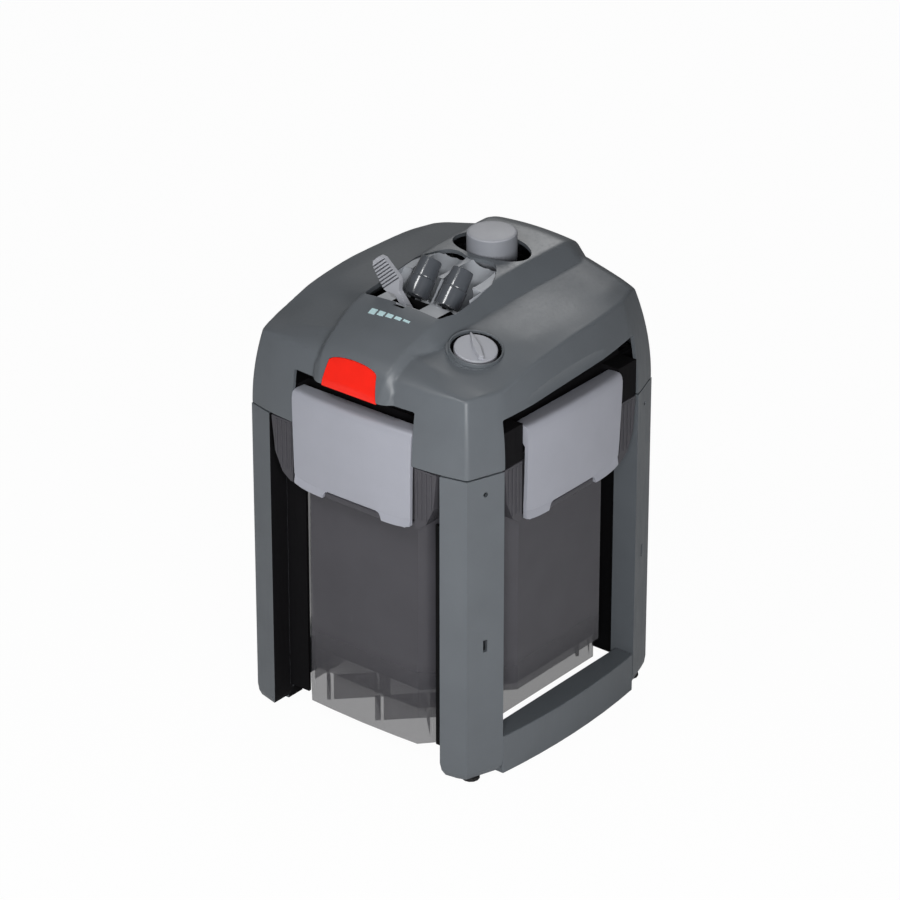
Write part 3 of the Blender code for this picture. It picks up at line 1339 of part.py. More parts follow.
POINTER_HALF = 0.0034  # widest half of the ridge, at the disc's centre
POINTER_TAIL = 0.0022
POINTER_TIP = 0.0006
POINTER_FRONT = -0.0135
POINTER_BACK = 0.0158
POINTER_HEIGHT = 0.0030
POINTER_TURN = math.radians(-10)
POINTER_RIGHT = [(POINTER_TAIL, POINTER_FRONT), (POINTER_HALF, 0.0), (POINTER_TIP, POINTER_BACK)]
POINTER_PLAN = POINTER_RIGHT + [(-x, y) for x, y in reversed(POINTER_RIGHT)]


def make_knob(cover):
    """Disc in a round well of the deck, with a pointer ridge and a spindle through the cover."""
    tilt = KNOB_SLOPE.to_track_quat("Z", "Y").to_matrix().to_4x4()
    place = Matrix.Translation(knob_centre()) @ tilt
    cut(cover, rod(SPINDLE_RADIUS + RUNNING_GAP, valve_axis(-0.01), valve_axis(0.03), sides=SMALL_ROUND))
    knob = add("bypass_knob", rod(KNOB_RADIUS, (0, 0, -KNOB_THICKNESS), (0, 0, 0)), LIGHT)
    turn = Matrix.Rotation(POINTER_TURN, 2)
    pointer = [tuple(turn @ Vector(point)) for point in POINTER_PLAN]
    join(knob, slab(pointer, -0.001, POINTER_HEIGHT))
    join(knob, rod(SPINDLE_RADIUS, (0, 0, -SPINDLE_LENGTH), (0, 0, -0.001), sides=SMALL_ROUND))
    knob.matrix_world = place
    for step in knob.modifiers:
        step.object.matrix_world = place
    low = SPINDLE_LENGTH + GAP
    valve = add("bypass_valve", rod(VALVE_RADIUS, (0, 0, -low - VALVE_LENGTH), (0, 0, -low)), BLACK)
    cut(valve, rod(0.003, (-0.02, 0, -low - VALVE_LENGTH / 2), (0.02, 0, -low - VALVE_LENGTH / 2), sides=12))
    valve.matrix_world = place
    for step in valve.modifiers:
        step.object.matrix_world = place
    return knob, valve


# ---------------------------------------------------------------------------------------------------
# Pump
# ---------------------------------------------------------------------------------------------------

IMPELLER_LOW = SPIGOT_BOTTOM_Z + IMPELLER_RISE


def make_motor():
    low = CHAMBER_BOSS_TOP + GAP
    inner = WELL_RADIUS + WELL_WALL + GAP
    high = WELL_TOP - MOTOR_DROP
    profile = [
        (inner, high),
        (MOTOR_RADIUS - MOTOR_EDGE, high),
        (MOTOR_RADIUS, high - MOTOR_EDGE),
        (MOTOR_RADIUS, low),
        (inner, low),
    ]
    return turned("motor_pot", profile, BLACK, at=PUMP_AT, closed=True)


def make_impeller():
    """Round magnet with a bladed wheel under it."""
    hub_top = IMPELLER_LOW + IMPELLER_BLADE
    top = IMPELLER_LOW + ROTOR_LENGTH
    bore = SHAFT_RADIUS + RUNNING_GAP
    profile = [(bore, top), (MAGNET_RADIUS - 0.001, top), (MAGNET_RADIUS, top - 0.001)]
    profile += [(MAGNET_RADIUS, hub_top + 0.002), (HUB_RADIUS, hub_top + 0.001), (HUB_RADIUS, IMPELLER_LOW)]
    impeller = turned("impeller", profile + [(bore, IMPELLER_LOW)], CERAMIC, PUMP_AT, True, 24)
    impeller.location = (0, 0, 0)
    half = BLADE_THICKNESS / 2
    for i in range(BLADE_COUNT):
        turn = Matrix.Rotation(2 * math.pi * i / BLADE_COUNT, 4, "Z")
        low, high = (HUB_RADIUS - 0.001, -half, IMPELLER_LOW), (WHEEL_RADIUS, half, hub_top)
        join(impeller, box(low, high, turn=turn))
    place = Matrix.Translation(PUMP_AT)
    impeller.matrix_world = place
    for step in impeller.modifiers:
        if step.type == "BOOLEAN":
            step.object.matrix_world = place
    return impeller


def make_shaft():
    low = SPIGOT_BOTTOM_Z - SHAFT_END
    high = WELL_ROOF - SHAFT_END
    return smooth(add("impeller_shaft", upright(SHAFT_RADIUS, PUMP_AT, low, high, SMALL_ROUND), CERAMIC))


def make_bush(name, outer, low, high):
    inner = SHAFT_RADIUS + GAP
    profile = [(inner, high), (outer, high), (outer, low), (inner, low)]
    return turned(name, profile, RUBBER, at=PUMP_AT, closed=True, sides=SMALL_ROUND)


def make_impeller_cover():
    """Disc under the chamber, with the intake round its hub."""
    top = SPIGOT_BOTTOM_Z - GAP
    low = top - COVER_DISC
    cover = add("impeller_cover", upright(CHAMBER_RADIUS + CHAMBER_WALL, PUMP_AT, low, top), BLACK)
    cut(cover, upright(INTAKE_RADIUS, PUMP_AT, top - 0.01, top + 0.01, 24))
    join(cover, upright(BUSH_RADIUS + 0.0015 + GAP, PUMP_AT, low, top + 0.0004, SMALL_ROUND))
    arm = 0.0015
    reach = INTAKE_RADIUS + 0.001
    for turn in (0, 90):
        spin = Matrix.Translation(PUMP_AT) @ Matrix.Rotation(math.radians(turn), 4, "Z")
        join(cover, box((-reach, -arm, low + 0.0003), (reach, arm, top - 0.0003), turn=spin))
    cut(cover, upright(BUSH_RADIUS + GAP, PUMP_AT, SPIGOT_BOTTOM_Z - 0.0015 - GAP, top + 0.01, SMALL_ROUND))
    return cover


# ---------------------------------------------------------------------------------------------------
# Inside the canister
# ---------------------------------------------------------------------------------------------------

TRAY_Z = SIDE_SKIRT_Z + CANISTER_WALL + GAP
LOWER_Z = TRAY_Z + TRAY_HEIGHT + GAP
UPPER_Z = LOWER_Z + BASKET_HEIGHT + GAP
BASKET_INSET = CANISTER_WALL + BASKET_CLEARANCE


def make_riser():
    low = TRAY_Z
    high = DUCT_HIGH - 0.001
    inner = RISER_RADIUS - RISER_WALL
    profile = [(inner, high), (RISER_RADIUS, high), (RISER_RADIUS, low), (inner, low)]
    riser = turned("riser_tube", profile, BLACK, at=RISER_AT, closed=True, sides=24)
    windows = [box((-0.02, -0.004, low - 0.01), (0.02, 0.004, low + 0.016))]
    windows.append(box((-0.004, -0.02, low - 0.01), (0.004, 0.02, low + 0.016)))
    for mesh in windows:
        helper = tool("riser_window", mesh)
        helper.location = RISER_AT
        cut(riser, helper)
    return riser


def make_basket(name, low, height):
    """Open basket with slots in its floor and a hole for the riser."""
    basket = add(name, slab(octagon(BASKET_INSET), low, low + height), BLACK)
    inside = slab(octagon(BASKET_INSET + BASKET_WALL), low + BASKET_WALL, low + height + 0.01)
    hollow = tool(name + "_hollow", inside)
    cut(hollow, upright(SLEEVE_RADIUS, RISER_AT, low - 0.01, low + height - 0.001, SMALL_ROUND))
    cut(basket, hollow)
    cut(basket, upright(RISER_RADIUS + 0.001, RISER_AT, low - 0.01, low + height + 0.01, SMALL_ROUND))
    for i in range(SLOT_COUNT):
        x = (i - (SLOT_COUNT - 1) / 2) * SLOT_PITCH
        beside_riser = x > RISER_AT.x - SLEEVE_RADIUS - SLOT_PITCH / 2
        start = RISER_AT.y + 2 * SLEEVE_RADIUS if beside_riser else -SLOT_REACH
        half = BASKET_SLOT_HALF
        cut(basket, box((x - half, start, low - 0.01), (x + half, SLOT_REACH, low + 2 * BASKET_WALL)))
    return basket


def make_fill(name, low, high, look):
    """What lies in a basket, round the riser's sleeve."""
    fill = add(name, slab(octagon(BASKET_INSET + BASKET_WALL + GAP), low, high), look)
    cut(fill, upright(SLEEVE_RADIUS + GAP, RISER_AT, low - 0.01, high + 0.01, SMALL_ROUND))
    return fill


def make_grip(name, low):
    """Cross bar to lift a basket by."""
    reach = BODY_X - BASKET_INSET - BASKET_WALL - GAP
    return add(name, box((-reach, -GRIP_HALF, low), (reach, GRIP_HALF, low + GRIP_HEIGHT)), BLACK)


def make_inside():
    make_riser()
    make_basket("prefilter_tray", TRAY_Z, TRAY_HEIGHT)
    make_basket("basket_lower", LOWER_Z, BASKET_HEIGHT)
    make_basket("basket_upper", UPPER_Z, BASKET_HEIGHT)
    floor = BASKET_WALL + GAP
    make_fill("prefilter_sponge", TRAY_Z + floor, TRAY_Z + TRAY_HEIGHT - GAP, SPONGE)
    grip_low = BASKET_HEIGHT - GRIP_HEIGHT - GAP
    make_fill("media_lower", LOWER_Z + floor, LOWER_Z + grip_low - GAP, MEDIA)
    make_fill("media_upper", UPPER_Z + floor, UPPER_Z + grip_low - PAD_HEIGHT - 2 * GAP, MEDIA)
    make_fill("fine_pad", UPPER_Z + grip_low - PAD_HEIGHT - GAP, UPPER_Z + grip_low - GAP, CERAMIC)
    make_grip("basket_grip_lower", LOWER_Z + grip_low)
    make_grip("basket_grip_upper", UPPER_Z + grip_low)


# ---------------------------------------------------------------------------------------------------
# The whole filter
# ---------------------------------------------------------------------------------------------------

head_cover = make_cover()
make_window()
make_gland(head_cover)
make_knob(head_cover)
make_base()
make_seal()
for corner, spot in four_corners(SCREW_X, SCREW_Y).items():
    make_cover_screw(corner, spot)
for corner, spot in four_corners(1, 1).items():
    make_post(corner, int(spot.x), int(spot.y))
make_rail("left", -1)
make_rail("right", 1)
make_canister()
for side_name, flange, side_turn in clip_sides():
    make_clip(side_name, flange, side_turn)
make_prime_well()
make_prime_sleeve()
make_prime_button()
make_prime_spring()
make_adapter()
make_nozzle("nozzle_left", -1)
make_nozzle("nozzle_right", 1)
make_adapter_seal("adapter_seal_left", -1)
make_adapter_seal("adapter_seal_right", 1)
make_lever()
make_motor()
make_impeller()
make_shaft()
make_bush("shaft_bush_upper", WELL_RADIUS - GAP, WELL_ROOF - GAP - BUSH_HEIGHT, WELL_ROOF - GAP)
make_bush("shaft_bush_lower", BUSH_RADIUS, SPIGOT_BOTTOM_Z - 0.0015, SPIGOT_BOTTOM_Z + 0.0017)
make_impeller_cover()
make_inside()
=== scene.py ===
# %% [markdown]
# # An external canister filter, dressed for its portrait
# The object is a square aquarium filter: a smoky canister hangs in a frame of four corner posts, under a
# pump head with a raised centre band. Four silver clips close it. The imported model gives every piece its
# place. This lesson swaps the plain solids for pieces with soft edges and real finishes.
# The front, with the red window, faces -Y, and the bypass knob is on the right, +X.

# %% Load the frame
import math

import bpy
import numpy as np
from mathutils import Matrix, Vector


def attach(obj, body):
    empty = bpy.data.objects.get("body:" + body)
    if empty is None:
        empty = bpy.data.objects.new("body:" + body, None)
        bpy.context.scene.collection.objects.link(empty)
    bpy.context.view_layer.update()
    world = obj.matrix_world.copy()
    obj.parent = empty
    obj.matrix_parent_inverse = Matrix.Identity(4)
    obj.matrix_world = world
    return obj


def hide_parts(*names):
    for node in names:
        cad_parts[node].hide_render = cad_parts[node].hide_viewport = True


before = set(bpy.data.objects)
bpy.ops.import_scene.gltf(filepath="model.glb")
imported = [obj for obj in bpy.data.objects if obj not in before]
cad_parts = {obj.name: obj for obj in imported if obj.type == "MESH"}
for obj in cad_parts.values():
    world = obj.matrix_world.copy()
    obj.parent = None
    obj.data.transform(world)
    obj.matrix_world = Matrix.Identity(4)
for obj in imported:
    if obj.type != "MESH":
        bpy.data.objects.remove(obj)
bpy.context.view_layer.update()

# %% [markdown]
# ## Working by hand, in code
# Operators act on whatever is selected, and the frame arrives selected. So every step starts by clearing
# the selection, and faces are then picked by where they are or which way they look.

# %% Small helpers for selecting
SEAM = 0.2564  # the head sits on the posts at this height, in metres like all sizes here


def clear_selection():
    if bpy.context.object and bpy.context.object.mode != "OBJECT":
        bpy.ops.object.mode_set(mode="OBJECT")
    bpy.ops.object.select_all(action="DESELECT")


def only(piece):
    clear_selection()
    piece.select_set(True)
    bpy.context.view_layer.objects.active = piece


def edit_all(piece):
    """Enter edit mode with the whole piece selected."""
    only(piece)
    bpy.ops.object.mode_set(mode="EDIT")
    bpy.ops.mesh.select_mode(type="FACE")
    bpy.ops.mesh.select_all(action="SELECT")


def done_editing():
    bpy.ops.object.mode_set(mode="OBJECT")


def face_outwards(piece):
    edit_all(piece)
    bpy.ops.mesh.normals_make_consistent(inside=False)
    done_editing()
    return piece


# %% [markdown]
# A finished piece's object sits at the origin, with its place in its mesh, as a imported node's does. So a
# piece that was turned or moved as an object is settled at the end.

# %% Small helpers for whole pieces
def named(name):
    piece = bpy.context.object
    piece.name = name
    piece.data.name = name
    return piece


def settle(piece):
    """Put the piece's place into its mesh, so that its object sits at the origin."""
    only(piece)
    bpy.ops.object.transform_apply(location=True, rotation=True, scale=True)
    return piece


def linked(name, data):
    """A new object round a mesh, a lamp or a lens."""
    piece = bpy.data.objects.new(name, data)
    bpy.context.scene.collection.objects.link(piece)
    return piece


def duplicate(piece, name):
    """A copy of a piece that has its own mesh."""
    return linked(name, piece.data.copy())


def joined(name, pieces):
    clear_selection()
    for piece in pieces:
        piece.select_set(True)
    bpy.context.view_layer.objects.active = pieces[0]
    bpy.ops.object.join()
    return named(name)


def about_z(degrees):
    return Matrix.Rotation(math.radians(degrees), 4, "Z")


def swung(piece, degrees):
    """Turn a piece about the filter's upright middle line."""
    piece.matrix_world = about_z(degrees)
    return settle(piece)


def stood(piece, start, direction):
    """Stand a piece on a point, with its own Z along a direction."""
    upright = Vector(direction).to_track_quat("Z", "Y").to_matrix().to_4x4()
    piece.matrix_world = Matrix.Translation(start) @ upright
    return settle(piece)


def on_side(side, near, far):
    """The lower and the higher end of a stretch on one side of the middle. side is -1 or 1."""
    return sorted((side * near, side * far))


# %% Small helpers for shaping
def apply_modifier(piece, kind, **values):
    only(piece)
    step = piece.modifiers.new(kind.lower(), kind)
    for key, value in values.items():
        setattr(step, key, value)
    bpy.ops.object.modifier_apply(modifier=step.name)


def carve(piece, cutter, operation="DIFFERENCE"):
    """Boolean with a cutter that is thrown away afterwards."""
    apply_modifier(piece, "BOOLEAN", operation=operation, solver="MANIFOLD", object=cutter)
    bpy.data.objects.remove(cutter)
    return piece


def round_edges(piece, width, segments=2, sharp=30):
    """Round the edges whose faces meet at more than sharp degrees."""
    apply_modifier(
        piece,
        "BEVEL",
        width=width,
        segments=segments,
        limit_method="ANGLE",
        angle_limit=math.radians(sharp),
        use_clamp_overlap=True,
    )
    return piece


BIG_FACE_WEIGHT = 80  # how strongly a large face keeps its own normal


def soft_shading(piece, sharp=40, weighted=True):
    only(piece)
    bpy.ops.object.shade_smooth_by_angle(angle=math.radians(sharp))
    if weighted:
        apply_modifier(piece, "WEIGHTED_NORMAL", keep_sharp=True, weight=BIG_FACE_WEIGHT)
    return piece


# %% [markdown]
# ## Primitives at their size and place
# Most new pieces start as a block, a drum, an outline that is extruded, or a profile that is spun. The last
# two are drawn as one face or one line first.

# %% Block and drum
def block(name, low, high):
    clear_selection()
    middle = [(a + b) / 2 for a, b in zip(low, high)]
    bpy.ops.mesh.primitive_cube_add(size=1.0, location=middle)
    piece = named(name)
    piece.scale = [b - a for a, b in zip(low, high)]
    return settle(piece)


def drum(name, radius, start, end, sides=96):
    """A cylinder between two points."""
    clear_selection()
    start, end = Vector(start), Vector(end)
    along = end - start
    bpy.ops.mesh.primitive_cylinder_add(
        vertices=sides,
        radius=radius,
        depth=along.length,
        location=(start + end) / 2,
        rotation=along.to_track_quat("Z", "Y").to_euler(),
    )
    return settle(named(name))


# %% Plate and lathe
ORDER = {
    "X": lambda u, v, w: (w, u, v),
    "Y": lambda u, v, w: (u, w, v),
    "Z": lambda u, v, w: (u, v, w),
}
SAME_POINT = 0.000005  # points of a spun profile that are nearer than this are one


def plate(name, outline, low, high, axis="Z"):
    """A flat outline, drawn as one face, extruded from low to high along an axis."""
    order = ORDER[axis]
    mesh = bpy.data.meshes.new(name)
    mesh.from_pydata([order(u, v, low) for u, v in outline], [], [list(range(len(outline)))])
    piece = linked(name, mesh)
    edit_all(piece)
    bpy.ops.mesh.extrude_region_move(TRANSFORM_OT_translate={"value": order(0.0, 0.0, high - low)})
    done_editing()
    return face_outwards(piece)


def turned(name, profile, start, direction, sides=96):
    """A lathe piece: the profile (radius, distance) is spun about a line. It starts and ends on the axis or
    closes on itself."""
    edges = [(i, i + 1) for i in range(len(profile) - 1)]
    if profile[0][0] > 0:
        edges.append((len(profile) - 1, 0))
    mesh = bpy.data.meshes.new(name)
    mesh.from_pydata([(radius, 0.0, z) for radius, z in profile], edges, [])
    piece = linked(name, mesh)
    only(piece)
    bpy.ops.object.mode_set(mode="EDIT")
    bpy.ops.mesh.select_all(action="SELECT")
    bpy.ops.mesh.spin(steps=sides, angle=2 * math.pi, center=(0, 0, 0), axis=(0, 0, 1))
    bpy.ops.mesh.select_all(action="SELECT")
    bpy.ops.mesh.remove_doubles(threshold=SAME_POINT)
    bpy.ops.mesh.normals_make_consistent(inside=False)
    done_editing()
    return stood(piece, start, direction)


# %% [markdown]
# ## Softened copies
# A moulded part has no razor edges: light catches every rounding. Where the solid's shape is already right,
# a copy is merged, its flat faces are cleaned and its edges get a small bevel. Weighted normals keep the
# large faces flat.

# %% Copy a node and soften it
MERGE, FLAT = 0.00002, math.radians(1.0)


def node_copy(name, node):
    piece = duplicate(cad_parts[node], name)
    piece.data.materials.clear()
    return piece


def softened(name, node, width, segments=2, sharp=9, smooth=35):
    piece = node_copy(name, node)
    edit_all(piece)
    bpy.ops.mesh.remove_doubles(threshold=MERGE)
    bpy.ops.mesh.dissolve_limited(angle_limit=FLAT)
    done_editing()
    if width:
        round_edges(piece, width, segments, sharp)
    return soft_shading(piece, smooth)


# %% [markdown]
# ## Dressing a piece
# Each new piece gets its finish, the body that it rides on and the names of the nodes that it stands for.
# Some have a second finish, painted shade, on part of their faces.

# %% Finish, body, slot and nodes
def dress(piece, look, body, slot, *nodes):
    piece.data.materials.clear()
    piece.data.materials.append(look)
    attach(piece, body)
    if nodes:
        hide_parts(*nodes)
    print(piece.name, len(piece.data.polygons), "faces")
    return piece


def paint_shade_on(piece, look, test):
    """Give painted shade, a second finish, to the faces whose centre and normal pass the test."""
    piece.data.materials.append(look)
    for face in piece.data.polygons:
        face.material_index = 1 if test(face.center, face.normal) else 0


# %% [markdown]
# ## Finishes
# The housing is a slate grey moulding with a very fine spark-eroded grain, the clips are painted silver,
# the canister is smoky clear. Three effects come back in many of them, so each is a node group: fine
# grain, uneven gloss and small scuffs. A group puts out masks and heights only.

# %% Node helpers
def linear(*display):
    """Display values from 0 to 255 as a linear colour."""
    shares = [v / 255 for v in display]
    return tuple(s / 12.92 if s <= 0.04045 else ((s + 0.055) / 1.055) ** 2.4 for s in shares) + (1.0,)


def group(name, inputs, outputs):
    tree = bpy.data.node_groups.new(name, "ShaderNodeTree")
    for label, default in inputs:
        socket = tree.interface.new_socket(name=label, in_out="INPUT", socket_type="NodeSocketFloat")
        socket.default_value = default
    for label in outputs:
        tree.interface.new_socket(name=label, in_out="OUTPUT", socket_type="NodeSocketFloat")
    return tree, tree.nodes.new("NodeGroupInput"), tree.nodes.new("NodeGroupOutput")


def feed(tree, socket, value):
    """Give a socket a plain value, or link another socket to it."""
    if isinstance(value, (int, float, tuple)):
        socket.default_value = value
    else:
        tree.links.new(value, socket)


def math_node(tree, operation, first, second):
    node = tree.nodes.new("ShaderNodeMath")
    node.operation = operation
    feed(tree, node.inputs[0], first)
    feed(tree, node.inputs[1], second)
    return node.outputs[0]


def object_place(tree):
    return tree.nodes.new("ShaderNodeTexCoord").outputs["Object"]


def stretched(tree, scale, rotation=(0.0, 0.0, 0.0)):
    """The place on the object, turned and stretched."""
    node = tree.nodes.new("ShaderNodeMapping")
    node.inputs["Rotation"].default_value = rotation
    node.inputs["Scale"].default_value = scale
    tree.links.new(object_place(tree), node.inputs["Vector"])
    return node.outputs["Vector"]


def noise(tree, scale, detail=3.0, roughness=0.55, vector=None):
    node = tree.nodes.new("ShaderNodeTexNoise")
    feed(tree, node.inputs["Scale"], scale)
    node.inputs["Detail"].default_value = detail
    node.inputs["Roughness"].default_value = roughness
    tree.links.new(vector or object_place(tree), node.inputs["Vector"])
    return node.outputs["Fac"]


def spread(tree, value, low, high, to_low=0.0, to_high=1.0):
    """Carry the range from low to high over to another range."""
    node = tree.nodes.new("ShaderNodeMapRange")
    node.inputs["From Min"].default_value = low
    node.inputs["From Max"].default_value = high
    node.inputs["To Min"].default_value = to_low
    node.inputs["To Max"].default_value = to_high
    tree.links.new(value, node.inputs["Value"])
    return node.outputs["Result"]


# %% Group 1: eroded grain, with fine cells under slow waves
CELL_SCALE, FINE_SHARE = 0.7, 0.65
grain_group, g_in, g_out = group("eroded_grain", [("Density", 2200.0), ("Wave", 25.0)], ["Height", "Tone"])
fine = noise(grain_group, g_in.outputs["Density"], detail=2.0)
fine_part = math_node(grain_group, "MULTIPLY", fine, FINE_SHARE)
cells = grain_group.nodes.new("ShaderNodeTexVoronoi")
cell_scale = math_node(grain_group, "MULTIPLY", g_in.outputs["Density"], CELL_SCALE)
feed(grain_group, cells.inputs["Vector"], object_place(grain_group))
feed(grain_group, cells.inputs["Scale"], cell_scale)
pits = math_node(grain_group, "ADD", fine_part, cells.outputs["Distance"])
feed(grain_group, g_out.inputs["Height"], pits)
slow = noise(grain_group, g_in.outputs["Wave"], detail=4.0)
feed(grain_group, g_out.inputs["Tone"], spread(grain_group, slow, 0.3, 0.7))

# %% Group 2: uneven gloss, as hands and cloths leave it
gloss_group, g_in, g_out = group("uneven_gloss", [("Patches", 18.0)], ["Patch", "Streak"])
patch = noise(gloss_group, g_in.outputs["Patches"], detail=5.0, roughness=0.6)
feed(gloss_group, g_out.inputs["Patch"], spread(gloss_group, patch, 0.35, 0.7))
streak = noise(gloss_group, 60.0, vector=stretched(gloss_group, (6.0, 6.0, 0.6)))
feed(gloss_group, g_out.inputs["Streak"], spread(gloss_group, streak, 0.45, 0.75))

# %% Group 3: scuffs, thin scratches that only show here and there
scuff_group, g_in, g_out = group("light_scuffs", [("Amount", 0.3)], ["Mask"])
slanting = stretched(scuff_group, (900.0, 40.0, 300.0), (0.4, 0.7, 0.5))
lines = spread(scuff_group, noise(scuff_group, 1.0, 2.0, vector=slanting), 0.68, 0.76)
where = spread(scuff_group, noise(scuff_group, 30.0, 2.0), 0.55, 0.7)
scratches = math_node(scuff_group, "MULTIPLY", lines, where)
feed(scuff_group, g_out.inputs["Mask"], math_node(scuff_group, "MULTIPLY", scratches, g_in.outputs["Amount"]))
print([tree.name for tree in bpy.data.node_groups])


# %% One recipe for all moulded finishes
def place_group(tree, source, **values):
    node = tree.nodes.new("ShaderNodeGroup")
    node.node_tree = source
    for key, value in values.items():
        node.inputs[key].default_value = value
    return node


def mixed_colour(tree, mask, first, second):
    """A colour that goes from the first to the second as the mask rises."""
    node = tree.nodes.new("ShaderNodeMix")
    node.data_type = "RGBA"
    feed(tree, node.inputs["Factor"], mask)
    feed(tree, node.inputs["A"], first)
    feed(tree, node.inputs["B"], second)
    return node.outputs["Result"]


def lighter(colour, gain, lift=0.0):
    return tuple(min(c * gain + lift, 1.0) for c in colour[:3]) + (1.0,)


SCUFF_GAIN, SCUFF_LIFT = 1.5, 0.02  # a scuff is lighter than the plastic round it
SMOOTHEST = 0.02


def finish(
    name, colour, rough, tone=0.08, density=2200.0, depth=0.00002, scuffs=0.15, gloss_range=0.08, **plain
):
    """A Principled finish: colour that drifts by tone, grain of a depth in metres, gloss that wanders."""
    look = bpy.data.materials.new(name)
    look.use_nodes = True
    tree = look.node_tree
    shader = tree.nodes["Principled BSDF"]
    grain = place_group(tree, grain_group, Density=density)
    gloss = place_group(tree, gloss_group)
    scuff = place_group(tree, scuff_group, Amount=scuffs)
    base = linear(*colour)
    drifting = mixed_colour(tree, grain.outputs["Tone"], lighter(base, 1 - tone), lighter(base, 1 + tone))
    worn = mixed_colour(tree, scuff.outputs["Mask"], drifting, lighter(base, SCUFF_GAIN, SCUFF_LIFT))
    tree.links.new(worn, shader.inputs["Base Color"])
    wander = math_node(tree, "ADD", gloss.outputs["Patch"], gloss.outputs["Streak"])
    low, high = max(rough - gloss_range, SMOOTHEST), rough + gloss_range
    tree.links.new(spread(tree, wander, 0.0, 2.0, low, high), shader.inputs["Roughness"])
    bump = tree.nodes.new("ShaderNodeBump")
    bump.inputs["Distance"].default_value = depth
    tree.links.new(grain.outputs["Height"], bump.inputs["Height"])
    tree.links.new(bump.outputs["Normal"], shader.inputs["Normal"])
    for key, value in plain.items():
        shader.inputs[key.replace("_", " ").title().replace("Ior", "IOR")].default_value = value
    return look


# %% [markdown]
# The colours are display values. The dark finishes also have a weaker sheen, so that they stay dark where
# light grazes them.

# %% Mouldings, paint and metal
HOUSING = finish("slate_moulding", (96, 101, 106), 0.42, tone=0.05, depth=0.00003)
# painted shade: a near-black copy of the housing's finish, for housing faces that lie in shade
HOUSING_PAINTED_SHADE = finish("slate_moulding_painted_shade", (7, 6, 9), 0.85, tone=0.06, specular_ior_level=0.2)
SILVER = finish(
    "silver_clip_paint", (169, 171, 181), 0.42, tone=0.03, density=3000.0, depth=0.000015, metallic=0.15
)
LIGHT = finish("light_grey_moulding", (168, 170, 177), 0.5, tone=0.04, depth=0.00003)
ADAPTER = finish("adapter_moulding", (166, 170, 176), 0.5, tone=0.04, depth=0.00003)
# painted shade: a darker copy of the light grey, for the button cap's upright side
CAP_SIDE_PAINTED_SHADE = finish("button_side_painted_shade", (140, 143, 150), 0.55, tone=0.04, depth=0.00003)
# painted shade: a darker copy of the lever's light grey, for the bottoms of its grooves
GROOVE_PAINTED_SHADE = finish("lever_groove_painted_shade", (84, 86, 92), 0.6, tone=0.05)
# painted shade: near black for the low faces of the adapter's bay and slot
SLOT_PAINTED_SHADE = finish("adapter_slot_painted_shade", (10, 10, 11), 0.8, tone=0.05, specular_ior_level=0.2)
GLOSSY = finish(
    "glossy_nozzle", (78, 82, 88), 0.24, tone=0.05, depth=0.000003, gloss_range=0.04, coat_weight=0.5
)
BLACK = finish("black_moulding", (22, 22, 25), 0.7, tone=0.08, depth=0.000008, specular_ior_level=0.3)
RUBBER = finish("black_rubber", (22, 22, 23), 0.8, tone=0.1, density=1200.0, depth=0.00006, scuffs=0.3)
STEEL = finish("bright_steel", (190, 190, 192), 0.28, tone=0.03, depth=0.000004, metallic=1.0)
CERAMIC = finish("dull_ceramic", (226, 222, 212), 0.45, tone=0.04, depth=0.00002)
PRINT = finish("pale_print", (196, 226, 230), 0.5, tone=0.03)

# %% Clear and soft finishes
RED = finish(
    "red_window", (246, 38, 24), 0.2, tone=0.06, depth=0.000003, gloss_range=0.04, specular_ior_level=0.35
)
SPONGE = finish("blue_sponge", (58, 92, 120), 0.95, tone=0.2, density=700.0, depth=0.0008, scuffs=0.0)
MEDIA = finish("sintered_media", (188, 170, 148), 0.9, tone=0.25, density=300.0, depth=0.0010, scuffs=0.0)
FLEECE = finish("white_fleece", (222, 222, 216), 0.95, tone=0.06, density=900.0, depth=0.0006, scuffs=0.0)
PLAIN_ALPHA = 0.55  # for a viewer that can't read the nodes
SMOKY = finish(
    "smoky_clear",
    (76, 75, 80),
    0.24,
    tone=0.05,
    depth=0.000004,
    gloss_range=0.06,
    alpha=PLAIN_ALPHA,
    specular_ior_level=0.3,
)
THIN_UP_TO, DENSE_FROM = 0.050, 0.085  # heights between which the smoke thickens
THIN, DENSE = 0.52, 0.93
smoky_tree = SMOKY.node_tree
split = smoky_tree.nodes.new("ShaderNodeSeparateXYZ")
smoky_tree.links.new(object_place(smoky_tree), split.inputs["Vector"])
smoke = spread(smoky_tree, split.outputs["Z"], THIN_UP_TO, DENSE_FROM, THIN, DENSE)
smoky_tree.links.new(smoke, smoky_tree.nodes["Principled BSDF"].inputs["Alpha"])
print(len(bpy.data.materials), "materials")

# %% [markdown]
# ## The bonnet
# The bonnet is a free-form shell: walls that lean in, a deck that falls away to both sides and a crowned
# band along the middle. Such a form has no primitive. It is cast like a balloon in a mould: a cage of
# small faces is blown out from the middle of the seam until each point meets the mould's surface. The
# mould is written as height curves at stations from front to back. Heights count from the seam.

